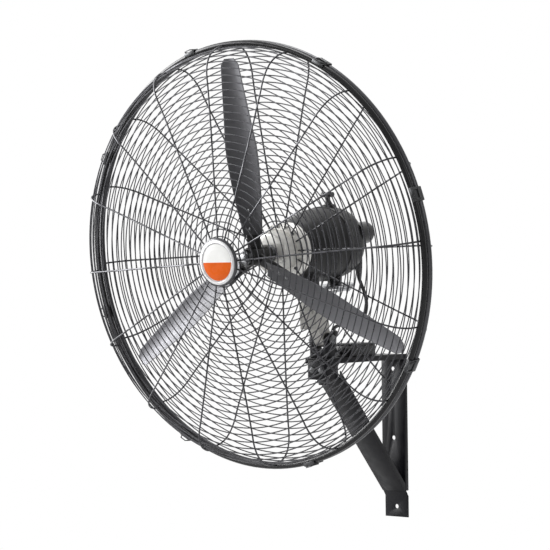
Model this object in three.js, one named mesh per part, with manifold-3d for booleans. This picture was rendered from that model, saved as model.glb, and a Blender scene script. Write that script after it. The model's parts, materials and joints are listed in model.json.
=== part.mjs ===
// Wall mounted fan: a triangular wall bracket, a tilting and swinging neck, a motor with its
// gear housing, a three-bladed rotor and a two-piece wire guard.
// Millimetres, +Z up. The wall is the plane Y = 0 and the fan blows towards -Y. The origin is on
// the wall, on the foot pad of the bracket.
import * as THREE from 'three';
import { mergeVertices } from 'three/addons/utils/BufferGeometryUtils.js';
import Module from 'manifold-3d';

const wasm = await Module();
wasm.setup();

// ---- driving dimensions -------------------------------------------------------------------
const GAP = 0.3;                    // clearance between pieces that touch
const RUN = 0.6;                    // clearance beside a piece that turns

// wall bracket
const STRIP_WIDTH = 58;             // width of the three pressed channels
const STRIP_WALL = 3;               // their sheet thickness
const STRIP_DEPTH = 11;             // depth of their side flanges
const CHANNEL_TOP = 300;            // top of the wall channel and of the arm
const HOLE_PITCH = 142.5;           // wall screw holes, centre to centre
const HOLE_RADIUS = 4.5;
const FOOT_HOLE_Z = -16;            // lowest hole, below the origin
const FOOT_EDGE = 21.5;             // lowest hole to the end of the pad
const PAD_TOP = 6;                  // top of the flat pad on the wall
const JOGGLE = 12;                  // height of the step from the pad to the channel's web
const BRACE_FOOT_Z = 16;            // where the brace's face meets the wall channel

// pivot block, fork and tilt joint
const TILT_AXIS_Y = -243;
const TILT_AXIS_Z = 336.6;
const BLOCK_WIDTH = 46;
const BLOCK_DEPTH = 40;
const BLOCK_HEIGHT = 39;
const STEM_RADIUS = 9;              // fork stem, down through the arm and the block
const STEM_TAIL = 11;               // stem showing under the block
const FORK_GAP = 27;                // between the fork's ears
const EAR_WALL = 7.5;
const EAR_RADIUS = 14;
const TILT_BOLT_RADIUS = 5;
const HEX_RADIUS = 9.5;             // corners of the tilt bolt's head and nut
const HEX_HEIGHT = 7;
const CAP_BOLT_RADIUS = 7;          // round heads on the pivot block
const CAP_BOLT_RISE = 3.5;
const CAP_BOLT_FACE = 0.8;          // where their crown starts, as a share
const CAP_BOLT_PITCH = 22;
const FORK_FLOOR_PLAY = 2;          // under the neck's eye
const BOLT_TAIL = 4;                // tilt bolt beyond its nut

// head: a frame at the centre of the guard, tipped forward, with Y along the fan's axis
const HEAD_Y = -463.3;
const HEAD_Z = 501;
const REST_TILT = THREE.MathUtils.degToRad(6.4);
const TILT_ARM_Y = 200;             // tilt axis in the head's frame
const SPINDLE_Y = 178;              // swivel spindle behind the guard's centre

// neck
const NECK_WIDTH = 40;
const NECK_EYE_RADIUS = 15;
const NECK_TAPER = 0.9;             // narrow end of the neck's webs as a share of the socket
const SOCKET_RADIUS = 19;
const SOCKET_TOP = -104;
const SOCKET_HEIGHT = 26;
const SOCKET_LIP = 5;               // socket's rim above the webs that carry it
const SHOULDER_RISE = 26;           // neck's broad part, above the tilt axis
const SHOULDER_REACH = 4;           // its lower edge, behind the socket
const LUG_THICK = 14;               // lug that carries the link's anchor
const SPINDLE_RADIUS = 9;
const SPINDLE_RISE = 24;            // spindle inside the motor's lower boss
const SEAT_FLOOR = 4;               // metal left under the spindle
const WASHER_THICK = 3;
const WASHER_INSET = 2;             // washer's edge, inside the socket's

// motor
const SHAFT_RADIUS = 8;
const SHAFT_FRONT = -20;
const NOSE_RADIUS = 40;
const NOSE_FRONT = 60;
const NOSE_CHAMFER = 4;
const BELL_STEP = 4;                // bell's flat face beyond the nose
const BELL_FULLNESS = 0.85;         // 1 is a plain cone
const BELL_FRONT = 97;
const BELL_REAR = 160;
const MOTOR_RADIUS = 72;
const DRUM_SHOULDER = 195;          // where the motor reaches its full radius
const FLANGE_RISE = 2.5;            // joint flange in front of the gear case
const FLANGE_THICK = 7;
const MOTOR_REAR = 232;
const GEARCASE_REAR = 292;
const GEARCASE_STEP = 1;            // below the motor's radius
const GEARCASE_STRAIGHT = 0.35;     // straight part as a share of its length
const GEARCASE_END_RADIUS = 46;
const COVER_THICK = 12;
const COVER_DRAFT = 2;              // taper of the cover's side
const COVER_BEVEL = 8;              // and of its rounded edge
const COVER_SIDE = 0.6;             // side as a share of the thickness
const GEAR_Y = 254;                 // clutch knob and crank axis
const GEAR_BOSS_RADIUS = 14;
const GEAR_BOSS_TOP = 76;
const GEAR_BOSS_BOTTOM = -84;
const CAN_RADIUS = 22;              // round housing on the right of the gear case
const CAN_X = 50;
const CAN_Z = 14;
const CAN_FRONT = 268;
const CAN_REAR = 306;
const CAN_CHAMFER = 5;
const BEARING_RADIUS = 17;
const BEARING_WIDTH = 8;
const BEARING_PLAY = 0.5;           // between the shaft and the bearing

// swing mechanism under the gear case
const LINK_ARM = 32;                // both pins from their axes: equal, so the link stays parallel
const CRANK_EDGE = 7;               // drive disc beyond its pin
const CRANK_DISC_THICK = 6;
const CRANK_SEAT = 16;              // drive spindle inside the gear case's lower boss
const LINK_THICK = 4;
const LINK_WIDTH = 14;
const LINK_WAIST = 0.6;             // width at mid-length, as a share
const LINK_PIN_RADIUS = 4;
const PIN_COLLAR = 2;               // collar beyond the pin's radius
const PIN_END = 3;                  // pin beyond the link

// clutch knob
const KNOB_STEM_RADIUS = 5;
const KNOB_HEIGHT = 24;
const KNOB_BAR = 28;
const KNOB_BORE = 20;               // stem length inside the gear case
const KNOB_COLLAR = 3;              // collar beyond the stem's radius
const KNOB_COLLAR_HEIGHT = 8;
const KNOB_STOP = 3;                // bore beyond the stem's end

// rotor
const BLADE_COUNT = 3;
const BLADE_PHASE = THREE.MathUtils.degToRad(1.3);
const TIP_CLEARANCE = 20;           // blade tips to the inside of the hoops
const BLADE_ROOT_RADIUS = 40;
const BLADE_WALL = 3;
const BLADE_ROOT_CHORD = 36;
const BLADE_MAX_CHORD = 65;
const BLADE_TIP_CHORD = 36;
const BLADE_ROOT_PITCH = THREE.MathUtils.degToRad(30);
const BLADE_TIP_PITCH = THREE.MathUtils.degToRad(13);
const BLADE_LEAN = 16;              // sideways lean of the tip against the root
const BLADE_LEAN_CENTRE = 0.4;      // share of the blade that lies on its radius
const BLADE_CAMBER = 0.09;          // rise of the section as a share of its chord
const BLADE_MID_Y = 15;             // middle of the blades along the axis
const BLADE_CORNER = 8;             // rounding of the tip's corners
const BLADE_CORNER_SHARE = 0.1;     // share of the blade that the rounding takes
const HUB_RADIUS = 18;
const HUB_FRONT = -6;
const HUB_REAR = 50;
const HUB_CHAMFER = 5;
const HUB_FACE = 0.85;              // flat face as a share of the hub's radius
const ARM_LENGTH = 100;             // hub centre to the end of a spider arm
const ARM_WIDTH = 26;
const ARM_WALL = 5;
const ARM_SINK = 8;                 // spider arm's root inside the hub
const NUT_HEIGHT = 9;
const NUT_SHARE = 1.8;              // corners of a nut as a share of its thread's radius

// guard
const HOOP_RADIUS = 410;
const HOOP_WIDTH = 12;              // radial
const HOOP_THICK = 12;              // along the axis
const HOOP_FRONT = -2;
const HOOP_SLIT = 0.8;              // between the two hoops
const GUARD_WIRES = 16;
const GUARD_RINGS = 7;
const WIRE_WIDTH = 4;
const WIRE_HALF = 2;
const GUARD_PHASE = THREE.MathUtils.degToRad(3);
const FRONT_DEPTH = 67;             // at the shoulder, from the hoops' slit
const FRONT_CROWN = 29;             // rise from the shoulder to the middle
const FRONT_CENTRE_RADIUS = 34;
const REAR_DEPTH = 52;
const REAR_CROWN = 28;
const REAR_CENTRE_RADIUS = 46;
const SHOULDER = 62;                // radial width of the guard's rounded edge
const SHOULDER_FULLNESS = 2.4;      // 2 is an ellipse
const SHOULDER_STEPS = 6;
const RING_PLATE_RADIUS = 54;
const RING_PLATE_THICK = 2.5;
const CLIP_COUNT = 8;
const CLIP_PHASE = THREE.MathUtils.degToRad(30);
const CLIP_WIDTH = 26;
const CLIP_WALL = 2.5;
const CLIP_HOOK = 7;
const CLIP_LEVER = 5;               // lever in front of the hoop
const BADGE_RADIUS = 46;
const BADGE_RIM = 4.5;
const BADGE_THICK = 8;
const BADGE_RECESS = 2;             // face behind the bezel's edge
const BADGE_BEVEL = 1.5;

// cables and box
const CABLE_RADIUS = 3.5;
const GLAND_RADIUS = 8;
const GLAND_LENGTH = 26;
const GLAND_LIP = 2;                // gland's wall round the cable
const MOTOR_GLAND = new THREE.Vector3(40, 282, -36);
const BOX_GLAND_LENGTH = 12;
const BOX_FRONT = -176;
const BOX_REAR = -98;
const BOX_WIDTH = 44;
const BOX_HEIGHT = 22;
const BOX_LID = 4;
const BOX_LID_RIM = 1.5;            // lid beyond the box's sides
const CABLE_CLIP_X = 12;            // clip on the neck, in the wall's frame
const CABLE_CLIP_Y = -220;
const CABLE_CLIP_Z = 348;
const CABLE_CLIP_HEIGHT = 10;
const CABLE_CLIP_WALL = 3;

const FACETS = 24;                  // sides of a round piece
const FINE_FACETS = 14;             // sides of one under the next radius
const FINE_RADIUS = 20;
const HOOP_FACETS = 48;
const CURVE_STEPS = 5;              // straight steps of a rounded profile

// ---- materials ----------------------------------------------------------------------------
const material = (color, roughness, metalness) =>
  new THREE.MeshStandardMaterial({ color, roughness, metalness });
const bracketBlack = () => material(0x3a3b3d, 0.5, 0.3);
const motorBlack = () => material(0x2b2b2d, 0.5, 0.2);
const wireGrey = () => material(0x45464a, 0.4, 0.5);
const hoopGrey = () => material(0x77777a, 0.4, 0.5);
const bladeGrey = () => material(0x55565a, 0.45, 0.5);
const castGrey = () => material(0xa9a9a9, 0.5, 0.6);
const zinc = () => material(0xb4b6b8, 0.35, 0.9);
const plasticBlack = () => material(0x1d1d1f, 0.5, 0);
const cableBlack = () => material(0x18181a, 0.6, 0);
const badgeWhite = () => material(0xe8e6e2, 0.4, 0);
const nylon = () => material(0xd9d6cc, 0.6, 0);

// ---- solids -------------------------------------------------------------------------------
function signedVolume(geometry) {
  const p = geometry.attributes.position;
  const index = geometry.index.array;
  const [a, b, c] = [new THREE.Vector3(), new THREE.Vector3(), new THREE.Vector3()];
  let volume = 0;
  for (let i = 0; i < index.length; i += 3) {
    a.fromBufferAttribute(p, index[i]);
    b.fromBufferAttribute(p, index[i + 1]);
    c.fromBufferAttribute(p, index[i + 2]);
    volume += a.dot(b.cross(c));
  }
  return volume / 6;
}

// merged vertices, and faces that point out
function closed(geometry) {
  const bare = geometry.clone();
  bare.deleteAttribute('normal');
  bare.deleteAttribute('uv');
  const merged = mergeVertices(bare, 1e-4);
  const index = merged.index.array;
  const kept = [];
  for (let i = 0; i < index.length; i += 3) {
    const [a, b, c] = [index[i], index[i + 1], index[i + 2]];
    if (a !== b && b !== c && c !== a) kept.push(a, b, c);
  }
  merged.setIndex(kept);
  if (signedVolume(merged) < 0) {
    for (let i = 0; i < kept.length; i += 3) [kept[i], kept[i + 1]] = [kept[i + 1], kept[i]];
    merged.setIndex(kept);
  }
  return merged;
}

function toManifold(geometry) {
  const g = closed(geometry);
  return new wasm.Manifold(new wasm.Mesh({
    numProp: 3,
    vertProperties: new Float32Array(g.attributes.position.array),
    triVerts: new Uint32Array(g.index.array),
  }));
}

function fromManifold(manifold) {
  const mesh = manifold.getMesh();
  const geometry = new THREE.BufferGeometry();
  const positions = new Float32Array(mesh.vertProperties);
  geometry.setAttribute('position', new THREE.BufferAttribute(positions, 3));
  geometry.setIndex(new THREE.BufferAttribute(new Uint32Array(mesh.triVerts), 1));
  return geometry;
}

const join = (...parts) => fromManifold(parts.map(toManifold).reduce((a, b) => a.add(b)));
const cut = (body, ...tools) =>
  fromManifold(tools.map(toManifold).reduce((a, b) => a.subtract(b), toManifold(body)));

const box = (x0, x1, y0, y1, z0, z1) =>
  new THREE.BoxGeometry(x1 - x0, y1 - y0, z1 - z0)
    .translate((x0 + x1) / 2, (y0 + y1) / 2, (z0 + z1) / 2);

// a body of revolution about Y, from [radius, y] points that start and end on the axis
const turned = (points, facets = FACETS) =>
  new THREE.LatheGeometry(points.map(([r, y]) => new THREE.Vector2(r, y)), facets);

const facetsFor = (radius) => (radius < FINE_RADIUS ? FINE_FACETS : FACETS);

const rod = (radius, y0, y1, facets = facetsFor(radius)) =>
  turned([[0, y0], [radius, y0], [radius, y1], [0, y1]], facets);

const ring = (inner, outer, y0, y1, facets = facetsFor(outer)) =>
  turned([[inner, y0], [outer, y0], [outer, y1], [inner, y1], [inner, y0]], facets);

const alongZ = (geometry, x = 0, y = 0) => geometry.rotateX(Math.PI / 2).translate(x, y, 0);
const alongX = (geometry, y = 0, z = 0) => geometry.rotateZ(-Math.PI / 2).translate(0, y, z);

// an outline in the Y-Z plane, extruded to both sides of X = 0
function slabX(points, width) {
  const outline = new THREE.Shape(points.map(([y, z]) => new THREE.Vector2(y, z)));
  return extrudeX(outline, width);
}

function extrudeX(outline, width, curveSegments = 8) {
  const settings = { depth: width, bevelEnabled: false, curveSegments };
  const slab = new THREE.ExtrudeGeometry(outline, settings);
  slab.translate(0, 0, -width / 2);
  // shape (y, z, x) to (x, y, z)
  return slab.applyMatrix4(new THREE.Matrix4().set(0, 0, 1, 0, 1, 0, 0, 0, 0, 1, 0, 0, 0, 0, 0, 1));
}

function tube(points, radius, sides, steps) {
  const circle = new THREE.Shape();
  for (let i = 0; i < sides; i++) {
    const a = (2 * Math.PI * i) / sides;
    if (i === 0) circle.moveTo(radius, 0);
    else circle.lineTo(radius * Math.cos(a), radius * Math.sin(a));
  }
  const path = new THREE.CatmullRomCurve3(points);
  return new THREE.ExtrudeGeometry(circle, { steps, extrudePath: path, bevelEnabled: false });
}

function add(parent, name, geometry, look) {
  const mesh = new THREE.Mesh(closed(geometry), look);
  mesh.name = name;
  parent.add(mesh);
  return mesh;
}

// ---- frames -------------------------------------------------------------------------------
const fan = new THREE.Group();
const head = new THREE.Group();
head.position.set(0, HEAD_Y, HEAD_Z);
head.rotation.x = REST_TILT;
fan.add(head);
head.updateMatrixWorld(true);

// a point of the wall's frame, in the head's frame
const inHead = (x, y, z) => head.worldToLocal(new THREE.Vector3(x, y, z));
// and the other way
const inWall = (x, y, z) => head.localToWorld(new THREE.Vector3(x, y, z));
const tiltAxis = inHead(0, TILT_AXIS_Y, TILT_AXIS_Z);

// ---- wall bracket -------------------------------------------------------------------------
const THROUGH = 5;                  // what a cutting tool reaches past the piece
const halfStrip = STRIP_WIDTH / 2;
const flangeX = halfStrip - STRIP_WALL / 2;
const padBottom = FOOT_HOLE_Z - FOOT_EDGE;
const webTop = CHANNEL_TOP - STRIP_WALL;
const blockTop = webTop - GAP;
const blockBottom = blockTop - BLOCK_HEIGHT;
const blockFront = TILT_AXIS_Y - BLOCK_DEPTH / 2;
const blockRear = TILT_AXIS_Y + BLOCK_DEPTH / 2;

const screwHole = (z) => rod(HOLE_RADIUS, -STRIP_DEPTH - THROUGH, THROUGH).translate(0, 0, z);
const stemBore = (z0, z1) =>
  alongZ(rod(STEM_RADIUS + GAP, z0 - THROUGH, z1 + THROUGH), 0, TILT_AXIS_Y);

function wallChannel() {
  const web = slabX([
    [0, padBottom], [0, PAD_TOP], [-STRIP_DEPTH + STRIP_WALL, PAD_TOP + JOGGLE],
    [-STRIP_DEPTH + STRIP_WALL, CHANNEL_TOP], [-STRIP_DEPTH, CHANNEL_TOP],
    [-STRIP_DEPTH, PAD_TOP + JOGGLE], [-STRIP_WALL, PAD_TOP], [-STRIP_WALL, padBottom],
  ], STRIP_WIDTH);
  const flange = (x) => slabX([
    [0, PAD_TOP + JOGGLE], [0, CHANNEL_TOP], [-STRIP_DEPTH + STRIP_WALL / 2, CHANNEL_TOP],
    [-STRIP_DEPTH + STRIP_WALL / 2, PAD_TOP + JOGGLE],
  ], STRIP_WALL).translate(x, 0, 0);
  const holes = [0, 1, 2].map((i) => screwHole(FOOT_HOLE_Z + i * HOLE_PITCH));
  return cut(join(web, flange(-flangeX), flange(flangeX)), ...holes);
}

function topArm() {
  const rear = -STRIP_DEPTH - GAP;
  const web = box(-halfStrip, halfStrip, blockFront, rear, webTop, CHANNEL_TOP);
  const flange = (side) => {
    const outer = side * halfStrip;
    const inner = side * (halfStrip - STRIP_WALL);
    const bottom = CHANNEL_TOP - STRIP_DEPTH;
    const top = CHANNEL_TOP - STRIP_WALL / 2;
    return box(Math.min(outer, inner), Math.max(outer, inner), blockFront, rear, bottom, top);
  };
  return cut(join(web, flange(-1), flange(1)), stemBore(webTop, CHANNEL_TOP));
}

// the brace's face runs from the wall channel's foot up to the block's lower rear edge
function diagonalBrace() {
  const foot = new THREE.Vector2(-STRIP_DEPTH, BRACE_FOOT_Z);
  const top = new THREE.Vector2(blockRear, blockBottom);
  const along = top.clone().sub(foot).normalize();
  const inward = new THREE.Vector2(along.y, -along.x);
  if (inward.y < 0) inward.negate();
  const past = BLOCK_DEPTH / 2;
  const start = foot.clone().addScaledVector(along, -past);
  const end = top.clone().addScaledVector(along, past);
  const strip = (thick, width) => {
    const corners = [start, end, end.clone().addScaledVector(inward, thick),
      start.clone().addScaledVector(inward, thick)];
    return slabX(corners.map((p) => [p.x, p.y]), width);
  };
  const flange = (x) => strip(STRIP_DEPTH, STRIP_WALL).translate(x, 0, 0);
  const channel = join(strip(STRIP_WALL, STRIP_WIDTH), flange(-flangeX), flange(flangeX));
  const far = STRIP_WIDTH;
  const wallSide = box(-far, far, -STRIP_DEPTH - GAP, far, BRACE_FOOT_Z - far, CHANNEL_TOP);
  const block = box(-far, far, blockFront - far, blockRear + GAP, blockBottom - GAP, CHANNEL_TOP);
  const belowFoot = box(-far, far, -far, far, BRACE_FOOT_Z - far, BRACE_FOOT_Z + GAP);
  return cut(channel, wallSide, block, belowFoot);
}

function pivotBlock() {
  const half = BLOCK_WIDTH / 2;
  const body = box(-half, half, blockFront, blockRear, blockBottom, blockTop);
  return cut(body, stemBore(blockBottom, blockTop));
}

add(fan, 'wall_channel', wallChannel(), bracketBlack());
add(fan, 'top_arm', topArm(), bracketBlack());
add(fan, 'diagonal_brace', diagonalBrace(), bracketBlack());
add(fan, 'pivot_block', pivotBlock(), bracketBlack());
for (const [name, side] of [['block_bolt_left', -1], ['block_bolt_right', 1]]) {
  const seat = blockFront - GAP;
  const bolt = turned([[0, seat], [CAP_BOLT_RADIUS, seat],
    [CAP_BOLT_RADIUS * CAP_BOLT_FACE, seat - CAP_BOLT_RISE * CAP_BOLT_FACE],
    [0, seat - CAP_BOLT_RISE]], FINE_FACETS);
  bolt.translate(side * CAP_BOLT_PITCH / 2, 0, (blockTop + blockBottom) / 2);
  add(fan, name, bolt, zinc());
}

// ---- fork and tilt joint --------------------------------------------------------------------
const earOuter = FORK_GAP / 2 + EAR_WALL;
const forkFloor = TILT_AXIS_Z - NECK_EYE_RADIUS - RUN - FORK_FLOOR_PLAY;
const eyeBore = (reach) => rod(TILT_BOLT_RADIUS + GAP, -reach, reach);

function tiltFork() {
  const outline = new THREE.Shape();
  outline.moveTo(TILT_AXIS_Y - EAR_RADIUS, CHANNEL_TOP + GAP);
  outline.lineTo(TILT_AXIS_Y + EAR_RADIUS, CHANNEL_TOP + GAP);
  outline.lineTo(TILT_AXIS_Y + EAR_RADIUS, TILT_AXIS_Z);
  outline.absarc(TILT_AXIS_Y, TILT_AXIS_Z, EAR_RADIUS, 0, Math.PI, false);
  const blank = extrudeX(outline, 2 * earOuter, 6);
  const far = EAR_RADIUS + THROUGH;
  const half = FORK_GAP / 2;
  const slot = box(-half, half, TILT_AXIS_Y - far, TILT_AXIS_Y + far, forkFloor, TILT_AXIS_Z + far);
  const boltHole = alongX(eyeBore(earOuter + THROUGH), TILT_AXIS_Y, TILT_AXIS_Z);
  const stem = alongZ(rod(STEM_RADIUS, blockBottom - STEM_TAIL, forkFloor - GAP), 0, TILT_AXIS_Y);
  return cut(join(blank, stem), slot, boltHole);
}

const hexagon = (radius, x0, x1) => rod(radius, x0, x1, 6);

function tiltBolt() {
  const seat = earOuter + GAP;
  const shank = rod(TILT_BOLT_RADIUS, -seat - HEX_HEIGHT - BOLT_TAIL, seat + HEX_HEIGHT / 2);
  return alongX(join(shank, hexagon(HEX_RADIUS, seat, seat + HEX_HEIGHT)), TILT_AXIS_Y, TILT_AXIS_Z);
}

function boredHexagon(radius, bore, y0, y1) {
  return cut(hexagon(radius, y0, y1), rod(bore, y0 - THROUGH, y1 + THROUGH));
}

add(fan, 'tilt_fork', tiltFork(), bracketBlack());
add(fan, 'tilt_bolt', tiltBolt(), zinc());
const tiltNutSeat = -earOuter - GAP;
const tiltNut = boredHexagon(HEX_RADIUS, TILT_BOLT_RADIUS + GAP, tiltNutSeat - HEX_HEIGHT, tiltNutSeat);
add(fan, 'tilt_nut', alongX(tiltNut, TILT_AXIS_Y, TILT_AXIS_Z), zinc());
const forkNutSeat = blockBottom - GAP;
const forkNut = boredHexagon(STEM_RADIUS * NUT_SHARE, STEM_RADIUS + GAP,
  forkNutSeat - HEX_HEIGHT, forkNutSeat);
add(fan, 'fork_nut', alongZ(forkNut, 0, TILT_AXIS_Y), zinc());

// ---- neck -----------------------------------------------------------------------------------
const boreMid = new THREE.Vector2(tiltAxis.y, tiltAxis.z);
const socketBottom = SOCKET_TOP - SOCKET_HEIGHT;
const webWidth = FORK_GAP - 2 * RUN;
const spindleBottom = socketBottom + SEAT_FLOOR;
const crankTop = GEAR_BOSS_BOTTOM - RUN;
const crankBottom = crankTop - CRANK_DISC_THICK;
const linkTop = crankBottom - RUN;
const linkBottom = linkTop - LINK_THICK;
const collarTop = linkBottom - RUN;
const lugTop = SOCKET_TOP - SOCKET_LIP;
const anchorPin = (y0, y1, extra = 0) =>
  alongZ(rod(LINK_PIN_RADIUS + extra, y0, y1), LINK_ARM, SPINDLE_Y);

function neckCasting() {
  const eye = alongX(rod(NECK_EYE_RADIUS, -webWidth / 2, webWidth / 2), boreMid.x, boreMid.y);
  const front = SPINDLE_Y - SOCKET_RADIUS;
  const rear = SPINDLE_Y + SOCKET_RADIUS;
  const upperFront = SPINDLE_Y - SOCKET_RADIUS * NECK_TAPER;
  const upperRear = SPINDLE_Y + SOCKET_RADIUS * NECK_TAPER;
  const narrow = slabX([
    [boreMid.x - NECK_EYE_RADIUS, boreMid.y], [boreMid.x + NECK_EYE_RADIUS * NECK_TAPER, boreMid.y],
    [rear, socketBottom], [upperRear, lugTop], [upperFront, lugTop], [front, socketBottom],
  ], webWidth);
  const broadFoot = boreMid.y + SHOULDER_RISE;
  const broad = slabX([
    [front, broadFoot], [rear + SHOULDER_REACH, broadFoot], [upperRear, lugTop], [upperFront, lugTop],
  ], NECK_WIDTH);
  const socket = alongZ(rod(SOCKET_RADIUS, socketBottom, SOCKET_TOP), 0, SPINDLE_Y);
  const half = LINK_WIDTH / 2;
  const lug = box(0, LINK_ARM + half, SPINDLE_Y - half, SPINDLE_Y + half, lugTop - LUG_THICK, lugTop);
  const bore = alongX(eyeBore(NECK_WIDTH), boreMid.x, boreMid.y);
  const seat = alongZ(rod(SPINDLE_RADIUS + GAP, spindleBottom - GAP, SOCKET_TOP + THROUGH), 0, SPINDLE_Y);
  const stud = anchorPin(lugTop - LUG_THICK - THROUGH, lugTop + THROUGH, GAP);
  return cut(join(eye, narrow, broad, socket, lug), bore, seat, stud);
}

const spindleTop = SOCKET_TOP + SPINDLE_RISE;
const washerBottom = SOCKET_TOP + GAP;
const washerTop = washerBottom + WASHER_THICK;
const washer = ring(SPINDLE_RADIUS + GAP, SOCKET_RADIUS - WASHER_INSET, washerBottom, washerTop);
const anchor = join(
  anchorPin(lugTop - LUG_THICK, linkTop + PIN_END),
  anchorPin(lugTop + GAP, collarTop, PIN_COLLAR),
);
add(head, 'neck_casting', neckCasting(), castGrey());
add(head, 'swivel_spindle', alongZ(rod(SPINDLE_RADIUS, spindleBottom, spindleTop), 0, SPINDLE_Y), zinc());
add(head, 'swivel_washer', alongZ(washer, 0, SPINDLE_Y), nylon());
add(head, 'link_anchor', anchor, zinc());

// ---- motor ----------------------------------------------------------------------------------
const bossBottom = washerTop + GAP;
const shaftEnd = BELL_FRONT - THROUGH;

function shaftHousing() {
  const seatFloor = NOSE_FRONT + BEARING_WIDTH + GAP;
  const rear = BELL_FRONT - GAP;
  const bore = SHAFT_RADIUS + BEARING_PLAY;
  return turned([
    [bore, seatFloor], [BEARING_RADIUS + GAP, seatFloor], [BEARING_RADIUS + GAP, NOSE_FRONT],
    [NOSE_RADIUS - NOSE_CHAMFER, NOSE_FRONT], [NOSE_RADIUS, NOSE_FRONT + NOSE_CHAMFER],
    [NOSE_RADIUS, rear], [bore, rear], [bore, seatFloor],
  ]);
}

// radius of the motor's shell, from the bell's face back to the drum
const bellFace = NOSE_RADIUS + BELL_STEP;
function shellPoint(y) {
  const share = Math.min((y - BELL_FRONT) / (DRUM_SHOULDER - BELL_FRONT), 1);
  return [bellFace + (MOTOR_RADIUS - bellFace) * Math.pow(share, BELL_FULLNESS), y];
}
const shellCurve = (y0, y1) => Array.from({ length: CURVE_STEPS + 1 },
  (_, i) => shellPoint(y0 + ((y1 - y0) * i) / CURVE_STEPS));

const frontBell = turned([
  [0, BELL_FRONT], ...shellCurve(BELL_FRONT, BELL_REAR), [0, BELL_REAR],
]);

function motorHousing() {
  const front = BELL_REAR + GAP;
  const rear = MOTOR_REAR - GAP;
  const flange = rear - FLANGE_THICK;
  const shell = turned([
    [0, front], ...shellCurve(front, DRUM_SHOULDER), [MOTOR_RADIUS, flange],
    [MOTOR_RADIUS + FLANGE_RISE, flange], [MOTOR_RADIUS + FLANGE_RISE, rear], [0, rear],
  ]);
  const bossRadius = Math.min(SOCKET_RADIUS - WASHER_INSET, SPINDLE_Y - BELL_REAR - GAP);
  const boss = alongZ(rod(bossRadius, bossBottom, -MOTOR_RADIUS / 2), 0, SPINDLE_Y);
  const bore = alongZ(rod(SPINDLE_RADIUS + RUN, bossBottom - THROUGH, spindleTop + RUN), 0, SPINDLE_Y);
  return cut(join(shell, boss), bore);
}

const canTool = rod(CAN_RADIUS + GAP, CAN_FRONT - GAP, CAN_REAR + THROUGH).translate(CAN_X, 0, CAN_Z);
const glandTip = MOTOR_GLAND.z - GLAND_LENGTH;
const glandTool = alongZ(rod(GLAND_RADIUS + GAP, glandTip - THROUGH, MOTOR_GLAND.z + GAP),
  MOTOR_GLAND.x, MOTOR_GLAND.y);

// case of the worm gear that drives the crank: rounded at the back, bossed above and below
function gearCase() {
  const radius = MOTOR_RADIUS - GEARCASE_STEP;
  const straight = (GEARCASE_REAR - MOTOR_REAR) * GEARCASE_STRAIGHT;
  const curved = GEARCASE_REAR - MOTOR_REAR - straight;
  const points = [[0, MOTOR_REAR], [radius, MOTOR_REAR]];
  for (let i = 0; i <= CURVE_STEPS; i++) {
    const a = (Math.PI / 2) * (i / CURVE_STEPS);
    points.push([GEARCASE_END_RADIUS + (radius - GEARCASE_END_RADIUS) * Math.cos(a),
      MOTOR_REAR + straight + curved * Math.sin(a)]);
  }
  points.push([0, GEARCASE_REAR]);
  const shell = turned(points);
  const bosses = alongZ(rod(GEAR_BOSS_RADIUS, GEAR_BOSS_BOTTOM, GEAR_BOSS_TOP), 0, GEAR_Y);
  const knobFloor = GEAR_BOSS_TOP - KNOB_BORE - KNOB_STOP;
  const knobBore = alongZ(rod(KNOB_STEM_RADIUS + RUN, knobFloor, GEAR_BOSS_TOP + THROUGH), 0, GEAR_Y);
  const crankCeiling = GEAR_BOSS_BOTTOM + CRANK_SEAT + RUN;
  const crankBore = alongZ(
    rod(LINK_PIN_RADIUS + PIN_COLLAR + RUN, GEAR_BOSS_BOTTOM - THROUGH, crankCeiling), 0, GEAR_Y);
  return cut(join(shell, bosses), knobBore, crankBore, canTool, glandTool);
}

function rearCover() {
  const front = GEARCASE_REAR + GAP;
  const back = GEARCASE_REAR + COVER_THICK;
  const edge = GEARCASE_END_RADIUS - COVER_DRAFT;
  return cut(turned([
    [0, front], [GEARCASE_END_RADIUS, front], [edge, front + COVER_THICK * COVER_SIDE],
    [edge - COVER_BEVEL, back], [0, back],
  ]), canTool);
}

const frontBearing = ring(SHAFT_RADIUS + BEARING_PLAY, BEARING_RADIUS, NOSE_FRONT + RUN,
  NOSE_FRONT + BEARING_WIDTH);
const capacitorCan = turned([
  [0, CAN_FRONT], [CAN_RADIUS, CAN_FRONT], [CAN_RADIUS, CAN_REAR - CAN_CHAMFER],
  [CAN_RADIUS - CAN_CHAMFER, CAN_REAR], [0, CAN_REAR],
]).translate(CAN_X, 0, CAN_Z);
const motorGland = turned([
  [0, glandTip], [CABLE_RADIUS + GLAND_LIP, glandTip], [GLAND_RADIUS, glandTip + GLAND_LENGTH / 2],
  [GLAND_RADIUS, MOTOR_GLAND.z], [0, MOTOR_GLAND.z],
], FINE_FACETS);

add(head, 'shaft_housing', shaftHousing(), castGrey());
add(head, 'front_bearing', frontBearing, zinc());
add(head, 'front_bell', frontBell, motorBlack());
add(head, 'motor_housing', motorHousing(), motorBlack());
add(head, 'gear_case', gearCase(), motorBlack());
add(head, 'rear_cover', rearCover(), plasticBlack());
add(head, 'capacitor_can', capacitorCan, plasticBlack());
add(head, 'motor_gland', alongZ(motorGland, MOTOR_GLAND.x, MOTOR_GLAND.y), plasticBlack());

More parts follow.
